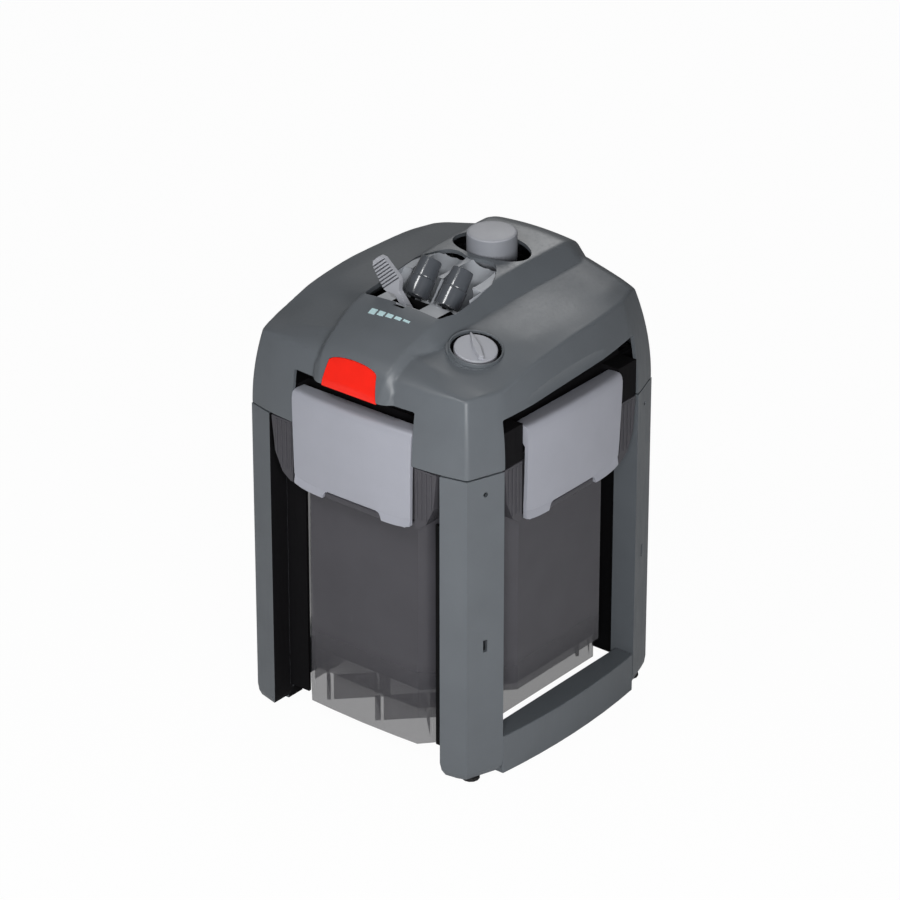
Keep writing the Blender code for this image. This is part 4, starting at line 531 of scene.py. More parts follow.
# %% Stations of the deck and the band
# place along Y, height at the band's foot, place and height of the side crease, height at the side plane
DECK = np.array([
    (-0.1205, 0.0400, 0.0820, 0.0360, 0.0300),
    (-0.1190, 0.0416, 0.0820, 0.0376, 0.0316),
    (-0.1165, 0.0481, 0.0820, 0.0436, 0.0376),
    (-0.1153, 0.0546, 0.0822, 0.0496, 0.0436),
    (-0.1120, 0.0611, 0.0826, 0.0566, 0.0506),
    (-0.1055, 0.0666, 0.0830, 0.0626, 0.0561),
    (-0.0980, 0.0704, 0.0840, 0.0641, 0.0571),
    (-0.0850, 0.0761, 0.0855, 0.0656, 0.0591),
    (-0.0710, 0.0796, 0.0865, 0.0676, 0.0616),
    (-0.0530, 0.0806, 0.0880, 0.0706, 0.0656),
    (-0.0200, 0.0826, 0.0900, 0.0766, 0.0696),
    (0.0160, 0.0856, 0.0910, 0.0789, 0.0726),
    (0.0500, 0.0886, 0.0910, 0.0796, 0.0726),
    (0.0760, 0.0906, 0.0890, 0.0811, 0.0706),
    (0.0920, 0.0911, 0.0850, 0.0811, 0.0686),
    (0.1020, 0.0871, 0.0835, 0.0776, 0.0656),
    (0.1090, 0.0816, 0.0830, 0.0726, 0.0616),
    (0.1140, 0.0726, 0.0825, 0.0646, 0.0556),
    (0.1160, 0.0616, 0.0820, 0.0556, 0.0476),
    (0.1175, 0.0500, 0.0820, 0.0440, 0.0376),
    (0.1195, 0.0400, 0.0820, 0.0360, 0.0300),
])
# place along Y, half width and height of the band's top edge, half width and height of its side's foot
BAND = np.array([
    (-0.1212, 0.0282, 0.0466, 0.0300, 0.0430),
    (-0.1194, 0.0292, 0.0532, 0.0325, 0.0466),
    (-0.1156, 0.0308, 0.0626, 0.0360, 0.0546),
    (-0.1097, 0.0320, 0.0690, 0.0364, 0.0636),
    (-0.1027, 0.0330, 0.0738, 0.0370, 0.0682),
    (-0.0910, 0.0340, 0.0806, 0.0382, 0.0736),
    (-0.0850, 0.0350, 0.0831, 0.0400, 0.0761),
    (-0.0710, 0.0360, 0.0886, 0.0445, 0.0796),
    (-0.0600, 0.0365, 0.0911, 0.0455, 0.0804),
    (-0.0200, 0.0370, 0.0961, 0.0460, 0.0826),
    (0.0300, 0.0370, 0.1006, 0.0480, 0.0871),
    (0.0850, 0.0370, 0.1011, 0.0500, 0.0914),
    (0.1040, 0.0345, 0.0956, 0.0440, 0.0856),
    (0.1120, 0.0325, 0.0876, 0.0400, 0.0780),
    (0.1180, 0.0305, 0.0736, 0.0360, 0.0600),
    (0.1212, 0.0285, 0.0466, 0.0300, 0.0430),
])
print(len(DECK), "deck stations", len(BAND), "band stations")


# %% Smooth curves through the stations
def fair_curve(table, column):
    """A curve without overshoot through one column of a table of stations."""
    xs, ys = table[:, 0], table[:, column]
    step = np.diff(xs)
    rise = np.diff(ys) / step
    before, after = rise[:-1], rise[1:]
    same_way = before * after > 0
    w1, w2 = 2 * step[1:] + step[:-1], step[1:] + 2 * step[:-1]
    shares = w1 / np.where(same_way, before, 1) + w2 / np.where(same_way, after, 1)
    slope = np.zeros(len(xs))
    slope[1:-1] = np.where(same_way, (w1 + w2) / shares, 0)
    slope[0], slope[-1] = rise[0], rise[-1]

    def at(y):
        y = np.clip(y, xs[0], xs[-1])
        i = np.clip(np.searchsorted(xs, y) - 1, 0, len(step) - 1)
        t = (y - xs[i]) / step[i]
        h00, h10 = (1 + 2 * t) * (1 - t) ** 2, t * (1 - t) ** 2
        h01, h11 = t * t * (3 - 2 * t), t * t * (t - 1)
        return h00 * ys[i] + h10 * step[i] * slope[i] + h01 * ys[i + 1] + h11 * step[i] * slope[i + 1]

    return at


DECK_FOOT, CREASE_AT, CREASE, DECK_OUT = [fair_curve(DECK, column) for column in (1, 2, 3, 4)]
BAND_HALF, BAND_TOP, BAND_FOOT_HALF, BAND_FOOT = [fair_curve(BAND, column) for column in (1, 2, 3, 4)]

# %% [markdown]
# Where two surfaces of the mould meet, the lower one wins and the change is rounded. Each corner of the
# walls has two flat facets, one that looks mostly forwards and one that looks mostly to the side.

# %% Sizes of the mould
HALF_W, HALF_D = 0.119, 0.1205
WALL_CURVE = 0.256  # the walls lean in along an arc of this radius
SIDE_BOW, SIDE_HALF = 0.0053, 0.0808  # how far a side wall bows out over its half length
FRONT_BOW, FRONT_HALF = 0.0042, 0.0816
FACET_FRONT = (0.13171, 0.2255, 0.9743)  # distance from the middle, and direction
FACET_SIDE = (0.13380, 0.9455, 0.3255)
DECK_FROM = 0.045  # the deck's slope starts this far from the middle
BAND_CROWN, BAND_END, BAND_SPARE = 0.002, 0.1212, 0.0015
FACET_SOFT, CORNER_SOFT, WALL_SOFT = 0.0012, 0.0022, 0.0014
CREASE_SOFT, FOOT_SOFT, BAND_SOFT, BAND_END_SOFT, MEETING_SOFT = 0.0006, 0.001, 0.0011, 0.0010, 0.0008


# %% The mould's surface
def soft_low(a, b, radius):
    """The lower of two values, with a rounded change between them."""
    share = np.clip(0.5 + 0.5 * (b - a) / radius, 0, 1)
    return b * (1 - share) + a * share - radius * share * (1 - share)


def facet_depth(facet, x, y):
    distance, along_x, along_y = facet
    return distance - along_x * x - along_y * y


def wall_depth(x, y, z):
    """How far a point is inside the leaning walls. x and y are not negative."""
    lean = np.maximum(z, 0) ** 2 / (2 * WALL_CURVE)
    x = x / (1 - lean / HALF_W)
    y = y / (1 - lean / HALF_D)
    side = HALF_W - SIDE_BOW * (y / SIDE_HALF) ** 2 - x
    front = HALF_D - FRONT_BOW * (x / FRONT_HALF) ** 2 - y
    front = soft_low(front, facet_depth(FACET_FRONT, x, y), FACET_SOFT)
    side = soft_low(side, facet_depth(FACET_SIDE, x, y), FACET_SOFT)
    return soft_low(front, side, CORNER_SOFT)


def deck_height(x, y):
    foot, crease, at = DECK_FOOT(y), CREASE(y), CREASE_AT(y)
    inner = foot + (crease - foot) * (x - DECK_FROM) / (at - DECK_FROM)
    outer = crease + (DECK_OUT(y) - crease) * (x - at) / (HALF_W - at)
    return soft_low(soft_low(inner, outer, CREASE_SOFT), foot, FOOT_SOFT)


def band_height(x, y):
    half, top = BAND_HALF(y), BAND_TOP(y)
    crown = top + BAND_CROWN * (1 - (x / half) ** 2)
    side = top + (BAND_FOOT(y) - top) * (x - half) / (BAND_FOOT_HALF(y) - half)
    return soft_low(crown, side, BAND_SOFT)


def bonnet_depth(x, y, z, inset):
    """Positive inside the bonnet's outer skin, or inside that skin shrunk by an inset."""
    x, deep = np.abs(x), np.abs(y)
    deck = soft_low(deck_height(x, y) - inset - z, wall_depth(x, deep, z) - inset, WALL_SOFT)
    end = np.minimum(BAND_END - inset - deep, BAND_FOOT_HALF(y) + BAND_SPARE - inset - x)
    band = soft_low(band_height(x, y) - inset - z, end, BAND_END_SOFT)
    return -soft_low(-deck, -band, MEETING_SOFT)


# %% [markdown]
# The cage is a closed box of small faces: a grid, its rim extruded downwards, and a floor. Each point of it
# gives the direction of a ray, and halving finds where the ray leaves the mould.

# %% Blow the cage out to the mould
CAGE_RISE = 0.072
FARTHEST, HALVINGS = 2.2, 40  # a ray's greatest reach, in cage sizes, and how often its stretch is halved


def cast(name, columns, rows, inset):
    """A dome of small faces over the seam, each point pushed out from the seam's middle to the skin."""
    clear_selection()
    bpy.ops.mesh.primitive_grid_add(x_subdivisions=columns, y_subdivisions=columns, size=2.0)
    piece = named(name)
    edit_all(piece)
    bpy.ops.mesh.select_mode(type="EDGE")
    bpy.ops.mesh.region_to_loop()
    for _ in range(rows):
        bpy.ops.mesh.extrude_edges_move(TRANSFORM_OT_translate={"value": (0, 0, -1.0 / rows)})
    bpy.ops.mesh.fill()
    done_editing()
    mesh = piece.data
    cage = np.empty(len(mesh.vertices) * 3)
    mesh.vertices.foreach_get("co", cage)
    rays = cage.reshape(-1, 3) * (HALF_W, HALF_D, CAGE_RISE)
    rays[:, 2] += CAGE_RISE
    near, far = np.zeros(len(rays)), np.full(len(rays), FARTHEST)
    for _ in range(HALVINGS):
        middle = (near + far) / 2
        tip = rays * middle[:, None]
        inside = bonnet_depth(tip[:, 0], tip[:, 1], tip[:, 2], inset) > 0
        near, far = np.where(inside, middle, near), np.where(inside, far, middle)
    tips = rays * near[:, None]
    tips[:, 2] += SEAM
    mesh.vertices.foreach_set("co", tips.ravel())
    mesh.update()
    return face_outwards(piece)


skin = cast("bonnet_skin", 150, 40, 0.0)
print("skin", len(skin.data.polygons), "faces", [round(v, 4) for v in skin.dimensions])

# %% [markdown]
# ## Openings in the bonnet
# The skin becomes a shell by taking away a shrunken casting. Then the openings are cut as a toolmaker
# would: a thin slice for the parting line, four recesses for the clips with shallow scoops over the side
# ones, the window, the hose adapter's opening, the oval well of the priming button, a notch for the
# adapter's latch, the round well of the knob and the hole for the cord gland.

# %% Hollow the skin
WALL = 0.003
pane_stock = duplicate(skin, "pane_stock")
hollow = cast("bonnet_hollow", 36, 10, WALL)
for point in hollow.data.vertices:
    if point.co.z < SEAM + 0.0001:
        point.co.z -= 2 * WALL
pane_hollow = duplicate(hollow, "pane_hollow")
bonnet = carve(skin, hollow)
bonnet.name = "bonnet"
print("shell", len(bonnet.data.polygons), "faces")

# %% Parting line between the bonnet and the posts
PARTING = 0.0011
BEYOND = 0.15  # past the bonnet on every side
carve(bonnet, block("parting_cutter", (-BEYOND, -BEYOND, SEAM - 0.01), (BEYOND, BEYOND, SEAM + PARTING)))

# %% Clip recesses and scoops
RECESS_HALF, RECESS_TOP, RECESS_SOFT = 0.0573, 0.0435, 0.0016
FRONT_RECESS_BACK, SIDE_RECESS_BACK, RECESS_OUT = 0.0985, 0.099, 0.16
SIDE_RECESS = ((-0.0808, -0.03), (0.0808, -0.03), (0.0793, 0.0490), (-0.0793, 0.0400))
SCOOP_RADIUS, SCOOP_DEPTH, SCOOP_HALF = 0.016, 0.0016, 0.0700
SCOOP_RISE, SCOOP_TILT = 0.0510, 0.0557
SCOOP_X = HALF_W - SCOOP_RISE**2 / (2 * WALL_CURVE) - SCOOP_DEPTH + SCOOP_RADIUS
for side in (-1, 1):
    y0, y1 = on_side(side, FRONT_RECESS_BACK, RECESS_OUT)
    corners = (-RECESS_HALF, y0, SEAM - 0.03), (RECESS_HALF, y1, SEAM + RECESS_TOP)
    carve(bonnet, round_edges(block("recess_cutter", *corners), RECESS_SOFT, 3))
    x0, x1 = on_side(side, SIDE_RECESS_BACK, RECESS_OUT)
    cutter = plate("side_recess_cutter", [(y, SEAM + z) for y, z in SIDE_RECESS], x0, x1, axis="X")
    carve(bonnet, round_edges(cutter, RECESS_SOFT, 3))
    ends = [(side * SCOOP_X, y, SEAM + SCOOP_RISE + y * SCOOP_TILT) for y in (-SCOOP_HALF, SCOOP_HALF)]
    carve(bonnet, round_edges(drum("scoop_cutter", SCOOP_RADIUS, *ends), SCOOP_RADIUS / 2, 6, 60))
print("recessed", len(bonnet.data.polygons), "faces")


# %% Window
def arch(half, top_half, bottom, shoulder, top, grow=0.0):
    """An outline with a straight foot and an arched head, drawn anticlockwise."""
    turns = [i * math.pi / 16 for i in range(9)]
    width, rise = top_half + grow, top - shoulder + grow
    right = [(width * math.cos(a), shoulder + rise * math.sin(a)) for a in turns]
    left = [(-x, z) for x, z in reversed(right[:-1])]
    return [(-half - grow, bottom - grow), (half + grow, bottom - grow)] + right + left


WINDOW = (0.0263, 0.0228, SEAM + 0.0421, SEAM + 0.0620, SEAM + 0.0672)
carve(bonnet, plate("window_cutter", arch(*WINDOW), -BEYOND, -0.0905, axis="Y"))

# %% Adapter opening, button well and latch notch
ADAPTER_HALF = [
    (0.0330, -0.0600), (0.0352, -0.0592), (0.0362, -0.0575), (0.0388, -0.0440), (0.0384, -0.0200),
    (0.0370, 0.0000), (0.0345, 0.0062), (0.0310, 0.0120), (0.0278, 0.0172), (0.0240, 0.0212),
    (0.0200, 0.0234), (0.0150, 0.0240), (0.0100, 0.0232), (0.0060, 0.0215),
]
BUTTON_Y = 0.0465
WELL_HALF_X, WELL_HALF_Y = 0.034, 0.0208
ABOVE = SEAM + 0.13  # over the band
opening = ADAPTER_HALF + [(0.0, 0.0200)] + [(-x, y) for x, y in reversed(ADAPTER_HALF)]
carve(bonnet, plate("adapter_cutter", opening, SEAM + 0.07, ABOVE))
turns = np.linspace(0, 2 * math.pi, 65)[:-1]
oval = [(WELL_HALF_X * math.cos(a), BUTTON_Y + WELL_HALF_Y * math.sin(a)) for a in turns]
carve(bonnet, plate("well_cutter", oval, SEAM + 0.078, ABOVE))
carve(bonnet, block("latch_notch_cutter", (-0.005, -0.0640, SEAM + 0.087), (0.005, -0.0595, ABOVE)))
print("opened", len(bonnet.data.polygons), "faces")

# %% [markdown]
# The knob sits in a cup that is square to its own axis, while the deck bends away round it. So a drum is
# added to the shell first, and the well is cut into both. The thin rim round it is spun.

# %% Knob well and gland hole
KNOB_UP = Vector((0.238, -0.11, 1.0)).normalized()
KNOB_FACE = Vector((0.067, -0.056, SEAM + 0.0765))
CUP_RADIUS, WELL_RADIUS = 0.0222, 0.0188
RIM = [
    (0.0192, -0.004), (0.0204, -0.004), (0.0204, 0.0002), (0.0201, 0.0006), (0.0196, 0.0006),
    (0.0192, 0.0002),
]
GLAND_X, GLAND_Z, GLAND_RADIUS = -0.0715, SEAM + 0.021, 0.0058


def on_knob_axis(height):
    """The point on the knob's axis at a height over its face."""
    return KNOB_FACE + KNOB_UP * height


carve(bonnet, drum("knob_cup", CUP_RADIUS, on_knob_axis(-0.009), on_knob_axis(-0.0022)), "UNION")
rim = turned("knob_rim", RIM, KNOB_FACE, KNOB_UP)
carve(bonnet, drum("knob_well_cutter", WELL_RADIUS, on_knob_axis(-0.006), on_knob_axis(0.02)))
gland_line = (GLAND_X, 0.10, GLAND_Z), (GLAND_X, 0.13, GLAND_Z)
carve(bonnet, drum("gland_cutter", GLAND_RADIUS, *gland_line, 32))

# %% Round what the cutters left sharp, and give the knob's well painted shade
WELL_FLOOR, WELL_LIP, WELL_DEEPEST = -0.0045, -0.0003, -0.008
WELL_WALL_FROM, WELL_WALL_TO = WELL_RADIUS - 0.0008, WELL_RADIUS + 0.0003


def shaded_knob_well_face(centre, normal):
    arm = centre - KNOB_FACE
    height = arm.dot(KNOB_UP)
    radius = (arm - KNOB_UP * height).length
    on_floor = WELL_DEEPEST < height < WELL_FLOOR and radius < WELL_WALL_TO
    on_wall = WELL_DEEPEST < height < WELL_LIP and WELL_WALL_FROM < radius < WELL_WALL_TO
    return on_floor or on_wall


round_edges(bonnet, 0.0005, 2, 48)
soft_shading(bonnet)
dress(bonnet, HOUSING, "housing", "housing", "head_cover")
# painted shade on the floor and wall of the knob's well
paint_shade_on(bonnet, HOUSING_PAINTED_SHADE, shaded_knob_well_face)
dress(rim, HOUSING, "housing", "housing")
soft_shading(rim)

# %% [markdown]
# ## The red window
# The pane is cut from the same casting as the bonnet, so its face runs on the bonnet's nose exactly. It is
# a little smaller than its opening, and its edges are rounded, because light runs along them.

# %% Red pane
PANE_GAP = 0.0004
pane_cutter = plate("pane_cutter", arch(*WINDOW, grow=-PANE_GAP), -BEYOND, -0.0912, axis="Y")
pane = carve(pane_stock, pane_cutter, "INTERSECT")
carve(pane, pane_hollow)
round_edges(pane, 0.0009, 3, 40)
soft_shading(pane, 45)
pane.name = "red_pane"
dress(pane, RED, "housing", "red", "status_window")

# %% [markdown]
# ## Frame
# Posts and rails are plain hollow mouldings. Their edges have a radius of about a millimetre. The inside of a
# post and the web that holds the canister lie in the dark, so they get painted shade, a near-black copy of
# the housing's finish.

# %% Posts, rails and feet
CORNERS = ("front_left", "front_right", "back_left", "back_right")
INNER_FACE_X, WEB_END_X, WEB_ROOT_X, WEB_Y = 0.0935, 0.0812, 0.093, 0.0985


def shaded_post_face(centre, normal):
    x, y = abs(centre.x), abs(centre.y)
    inward = normal.x * centre.x < 0 and abs(normal.x) > 0.8 and x < INNER_FACE_X
    web_side = y < WEB_Y and x < WEB_ROOT_X and normal.y * centre.y < 0
    return inward or x < WEB_END_X or web_side


for corner in CORNERS:
    post = softened("frame_post_" + corner, "post_" + corner, 0.0009, 3)
    dress(post, HOUSING, "housing", "housing", "post_" + corner)
    # painted shade on the post's inner faces and the web, which lie in the dark
    paint_shade_on(post, HOUSING_PAINTED_SHADE, shaded_post_face)
    foot = softened("foot_pad_" + corner, "foot_" + corner, 0.0006, 3, 40, 50)
    dress(foot, RUBBER, "housing", "rubber", "foot_" + corner)
for side in ("left", "right"):
    rail = softened("frame_rail_" + side, "rail_" + side, 0.0009, 3)
    dress(rail, HOUSING, "housing", "housing", "rail_" + side)

# %% [markdown]
# ## Clips
# A clip is a curved silver plate. It is wider at the top, bows out in the middle, rolls over at the top
# towards its pivot and has a low notch in its foot. The plate is drawn as a section and swept across the
# clip's width, bowing on the way. Front and back share one form, left and right the other.

# %% A clip's section
CLIP_FOOT, CLIP_TOP, CLIP_WALL = 0.2035, 0.284, 0.0028


def clip_section(face, lean, pivot, bow):
    """Outline of a clip's section, from its foot up the outer face, over the top and down inside."""
    foot, top = CLIP_FOOT, CLIP_TOP
    outer = [
        (lean - 0.0002, foot), (lean - 0.0005, foot + 0.0010),
        (lean * 0.9 - bow * 0.25 + 0.0006, foot + 0.0071), (lean * 0.9 - bow * 0.3 + 0.0001, foot + 0.0079),
        (lean * 0.66 - bow * 0.62, foot + 0.024),
        (lean * 0.4 - bow * 0.9, foot + 0.0402), (lean * 0.15 - bow * 0.99, foot + 0.056),
        (-bow, top - 0.012), (-bow + 0.0001, top - 0.006), (-bow + 0.0007, top - 0.003),
        (-bow + 0.0017, top - 0.0012), (-bow + 0.0035, top - 0.0003), (-bow + 0.0060, top),
    ]
    back, inner = -pivot + 0.0040, -face + CLIP_WALL
    return [(-face + offset, z) for offset, z in outer] + [
        (back - 0.0012, top - 0.0006), (back - 0.0003, top - 0.0012), (back, top - 0.0026),
        (back, top - 0.0122), (inner + 0.0035, top - 0.013), (inner - bow + 0.0003, top - 0.017),
        (inner + lean * 0.4 - bow * 0.9, foot + 0.0402), (inner + lean, foot + 0.0124),
        (inner + lean, foot + 0.0001),
    ]


# %% Sweep the section across the clip
SECTIONS = 49
CLIP_HALF, CLIP_WIDENS, CLIP_BOW = 0.0555, 0.0015, 0.003
FOOT_CORNER, FOOT_ZONE = 0.004, 0.2120  # the foot's corners rise by the first, below the second


def clip_blank(name, face, lean, pivot):
    rings = []
    for i in range(SECTIONS):
        share = -1 + 2 * i / (SECTIONS - 1)
        corner = FOOT_CORNER * abs(share) ** 6
        ring = []
        for y, z in clip_section(face, lean, pivot, CLIP_BOW * (1 - share * share)):
            half = CLIP_HALF + CLIP_WIDENS * (z - CLIP_FOOT) / (CLIP_TOP - CLIP_FOOT)
            ring.append((share * half, y, z + (corner if z < FOOT_ZONE else 0.0)))
        rings.append(ring)
    count = len(rings[0])
    faces = [tuple(range(count)), tuple((SECTIONS - 1) * count + k for k in range(count))]
    for start in range(0, (SECTIONS - 1) * count, count):
        for k in range(count):
            m = (k + 1) % count
            faces.append((start + k, start + m, start + count + m, start + count + k))
    mesh = bpy.data.meshes.new(name)
    mesh.from_pydata([point for ring in rings for point in ring], [], faces)
    return face_outwards(linked(name, mesh))


# %% Claws, notch and pin hole
CLAW_FROM, CLAW_TO, CLAW_LOW, CLAW_HIGH = 0.0300, 0.0495, 0.2039, 0.2059
NOTCH_HALF = [(0.0285, 0.19), (0.0285, 0.2035), (0.0274, 0.2068), (0.0260, 0.2090), (0.0233, 0.2101)]
PIN_RADIUS, PIN_HEIGHT = 0.0025, 0.276


def make_clip(name, face, lean, pivot, hook):
    piece = clip_blank(name, face, lean, pivot)
    for side in (-1, 1):
        x0, x1 = on_side(side, CLAW_FROM, CLAW_TO)
        claw = block("claw", (x0, -face + lean + 0.0014, CLAW_LOW), (x1, -hook, CLAW_HIGH))
        carve(piece, round_edges(claw, 0.0003, 1), "UNION")
    (foot_x, foot_z), *curve = NOTCH_HALF
    notch = [(-foot_x, foot_z), (foot_x, foot_z)] + curve + [(-x, z) for x, z in reversed(curve)]
    carve(piece, plate("notch_cutter", notch, -face - 0.02, -pivot, axis="Y"))
    carve(piece, drum("pin_cutter", PIN_RADIUS, (-0.1, -pivot, PIN_HEIGHT), (0.1, -pivot, PIN_HEIGHT), 24))
    return round_edges(piece, 0.0006, 3, 40)


# %% [markdown]
# Each clip hooks under a lip of the canister's flange. The lip shows in the notch of the clip's foot.

# %% Four clips with their lips and pins
LIP_HALF, LIP_LOW, LIP_HIGH = 0.0265, 0.2037, 0.2088
# name, turn in degrees, face, how far the foot leans in, pivot, hook: all three from the middle
CLIPS = (
    ("front", 0, 0.1190, 0.0003, 0.1075, 0.1108),
    ("right", 90, 0.1165, 0.0022, 0.1060, 0.1065),
    ("back", 180, 0.1190, 0.0003, 0.1075, 0.1108),
    ("left", 270, 0.1165, 0.0022, 0.1060, 0.1065),
)
for name, degrees, face, lean, pivot, hook in CLIPS:
    clip = swung(make_clip("closing_clip_" + name, face, lean, pivot, hook), degrees)
    soft_shading(clip)
    dress(clip, SILVER, "clip_" + name, "silver", "clip_" + name)
    corners = (-LIP_HALF, lean + 0.0006 - face, LIP_LOW), (LIP_HALF, -hook - 0.0008, LIP_HIGH)
    lip = swung(round_edges(block("catch_lip_" + name, *corners), 0.0013, 4), degrees)
    soft_shading(lip)
    dress(lip, SMOKY, "housing", "smoky")
    pin = softened("hinge_pin_" + name, "clip_pin_" + name, 0.0003, 2, 40, 50)
    dress(pin, STEEL, "housing", "steel", "clip_pin_" + name)

# %% [markdown]
# ## Canister
# The canister is smoky clear. Light comes through the skirt at its foot, which has only thin walls and
# ribs. Higher up the black baskets and the full room inside make it look nearly solid, so its finish grows
# denser with height. The flange beside the clips has upright flutes.

# %% Canister body
vessel = softened("smoky_canister", "canister", 0.0008, 3)
dress(vessel, SMOKY, "housing", "smoky", "canister")

# %% Flutes on the flange, modelled once and copied
FLUTE_HALF, FLUTE_FOOT, FLUTE_TOP = 0.0006, 0.2150, 0.2545
FLUTE_OUT, FLUTE_IN = 0.1176, 0.1166
FLUTES, FIRST_FLUTE, FLUTE_STEP = 4, 0.0605, 0.0045
LAST_SHARE = 0.72  # the flute next to the post is shorter
SIDE_FLANGE_IN = 0.0043  # the flange stands less far out at the sides
flute = block("flange_flute", (-FLUTE_HALF, -FLUTE_OUT, FLUTE_FOOT), (FLUTE_HALF, -FLUTE_IN, FLUTE_TOP))
round_edges(flute, 0.0004, 3)
shorten = Matrix.Translation((0, 0, FLUTE_TOP * (1 - LAST_SHARE))) @ Matrix.Diagonal((1, 1, LAST_SHARE, 1))
flutes = []
for degrees, inwards in ((0, 0.0), (90, SIDE_FLANGE_IN), (180, 0.0), (270, SIDE_FLANGE_IN)):
    for side in (-1, 1):
        for i in range(FLUTES):
            rib = duplicate(flute, "flange_flute")
            rib.data.transform(Matrix.Translation((side * (FIRST_FLUTE + i * FLUTE_STEP), inwards, 0)))
            if i == FLUTES - 1:
                rib.data.transform(shorten)
            rib.data.transform(about_z(degrees))
            flutes.append(rib)
bpy.data.objects.remove(flute)
fluting = joined("flange_fluting", flutes)
soft_shading(fluting)
dress(fluting, SMOKY, "housing", "smoky")

# %% [markdown]
# ## Head base, recess walls and well
# The base and the oval well lie in the shade: the base gets painted shade, a near-black copy of the housing's
# finish, and the well gets the black finish. Behind each of the bonnet's four recesses stands a thin wall
# with the same painted shade, so that no light comes through the head.

# %% Base, recess walls and button well
base = softened("head_body", "head_base", 0.0006, 2, 30, 40)
# painted shade on the whole head base
dress(base, HOUSING_PAINTED_SHADE, "housing", "housing", "head_base")
WALL_FOOT = SEAM + 0.0297
SIDE_HALF_Y, SIDE_TOP = 0.0783, SEAM + 0.0515
FRONT_HALF_X, FRONT_TOP = 0.0610, SEAM + 0.0470
walls = []
for side in (-1, 1):
    x0, x1 = on_side(side, 0.0932, 0.0962)
    y0, y1 = on_side(side, 0.0925, 0.0960)
    walls.append(block("recess_wall", (x0, -SIDE_HALF_Y, WALL_FOOT), (x1, SIDE_HALF_Y, SIDE_TOP)))
    walls.append(block("recess_wall", (-FRONT_HALF_X, y0, WALL_FOOT), (FRONT_HALF_X, y1, FRONT_TOP)))
# painted shade on the walls behind the recesses
dress(joined("recess_walls", walls), HOUSING_PAINTED_SHADE, "housing", "housing")
well = softened("button_well", "prime_well", 0.0004, 2, 40, 40)
dress(well, BLACK, "housing", "black", "prime_well")

# %% [markdown]
# ## Hose adapter, nozzles and lever
# The adapter is a light grey insert with two hose channels. A bay is cut into it square to the nozzles, and
# an upright slot at its right side. Their floors get painted shade, near black. The nozzles are glossy turned
# tubes with a collar. The lever's paddle has ribs for the thumb.

# %% Hose adapter
NOZZLE_LEAN = math.radians(49)  # over the horizontal
NOZZLE_FOOT = Vector((0, -0.026, SEAM + 0.0826))
NOZZLE_DIR = Vector((0, math.cos(NOZZLE_LEAN), math.sin(NOZZLE_LEAN)))
NOZZLE_UP = Vector((0, -NOZZLE_DIR.z, NOZZLE_DIR.y))
SLOT_TOP, FRONT_SLOT_Y, SIDE_SLOT_X = SEAM + 0.0855, -0.0275, 0.0262


def in_shaded_slot(centre, normal):
    return centre.z < SLOT_TOP and (centre.y < FRONT_SLOT_Y or centre.x > SIDE_SLOT_X)


adapter = softened("adapter_block", "hose_adapter", 0)
bay = block("nozzle_bay", (-0.0366, -0.0020, -0.0040), (0.0366, 0.0300, 0.0190))
stand = Matrix((Vector((-1, 0, 0)), NOZZLE_UP, NOZZLE_DIR)).transposed().to_4x4()
bay.data.transform(Matrix.Translation(NOZZLE_FOOT) @ stand)
carve(adapter, bay)
carve(adapter, block("side_slot", (0.0268, -0.0320, SEAM + 0.0745), (0.0362, -0.0120, SEAM + 0.12)))
round_edges(adapter, 0.0004, 2, 40)
soft_shading(adapter)
dress(adapter, ADAPTER, "housing", "light", "hose_adapter")
# painted shade on the low faces of the bay and the slot
paint_shade_on(adapter, SLOT_PAINTED_SHADE, in_shaded_slot)

# %% Nozzles
NOZZLE_X = 0.0150
NOZZLE = [
    (0.0055, 0.0305), (0.0075, 0.0305), (0.0080, 0.0302), (0.0083, 0.0295), (0.0091, 0.0162),
    (0.0088, 0.0156), (0.0088, 0.0151), (0.0094, 0.0149), (0.0097, 0.0146), (0.0098, 0.0140),
    (0.0098, 0.0004), (0.0096, 0.0), (0.0055, 0.0),
]
for name, x in (("left", -NOZZLE_X), ("right", NOZZLE_X)):
    nozzle = turned("hose_nozzle_" + name, NOZZLE, NOZZLE_FOOT + Vector((x, 0, 0)), NOZZLE_DIR)
    soft_shading(nozzle)
    dress(nozzle, GLOSSY, "housing", "glossy", "nozzle_" + name)

# %% Flow lever, with painted shade on the faces at the bottom of its grooves
GROOVE_FLOOR_Y = -0.0484
lever = softened("flow_paddle", "flow_lever", 0.0002, 2, 40, 40)
dress(lever, LIGHT, "lever", "light", "flow_lever")
paint_shade_on(lever, GROOVE_PAINTED_SHADE, lambda centre, normal: normal.y < -0.8 and centre.y > GROOVE_FLOOR_Y)

# %% [markdown]
# ## Button and knob
# Both are light grey. The button is a cap with a softly rounded rim and a face that crowns by half a
# millimetre. The knob is a disc with a pointer that narrows to the back.

# %% Priming button
BUTTON_TOP = SEAM + 0.1146
CAP = [
    (0.0, 0.0006), (0.0060, 0.00055), (0.0115, 0.0004), (0.0160, 0.0002), (0.0177, 0.0), (0.0185, -0.0004),
    (0.0190, -0.0010), (0.0192, -0.0018), (0.0192, -0.0446), (0.0190, -0.0450), (0.0167, -0.0450),
    (0.0167, -0.0025), (0.0, -0.0025),
]
cap = turned("priming_cap", CAP, (0, BUTTON_Y, BUTTON_TOP), (0, 0, 1), 128)
soft_shading(cap)
dress(cap, LIGHT, "button", "light", "prime_button")
# painted shade on the cap's upright side
paint_shade_on(cap, CAP_SIDE_PAINTED_SHADE, lambda centre, normal: abs(normal.z) < 0.3)

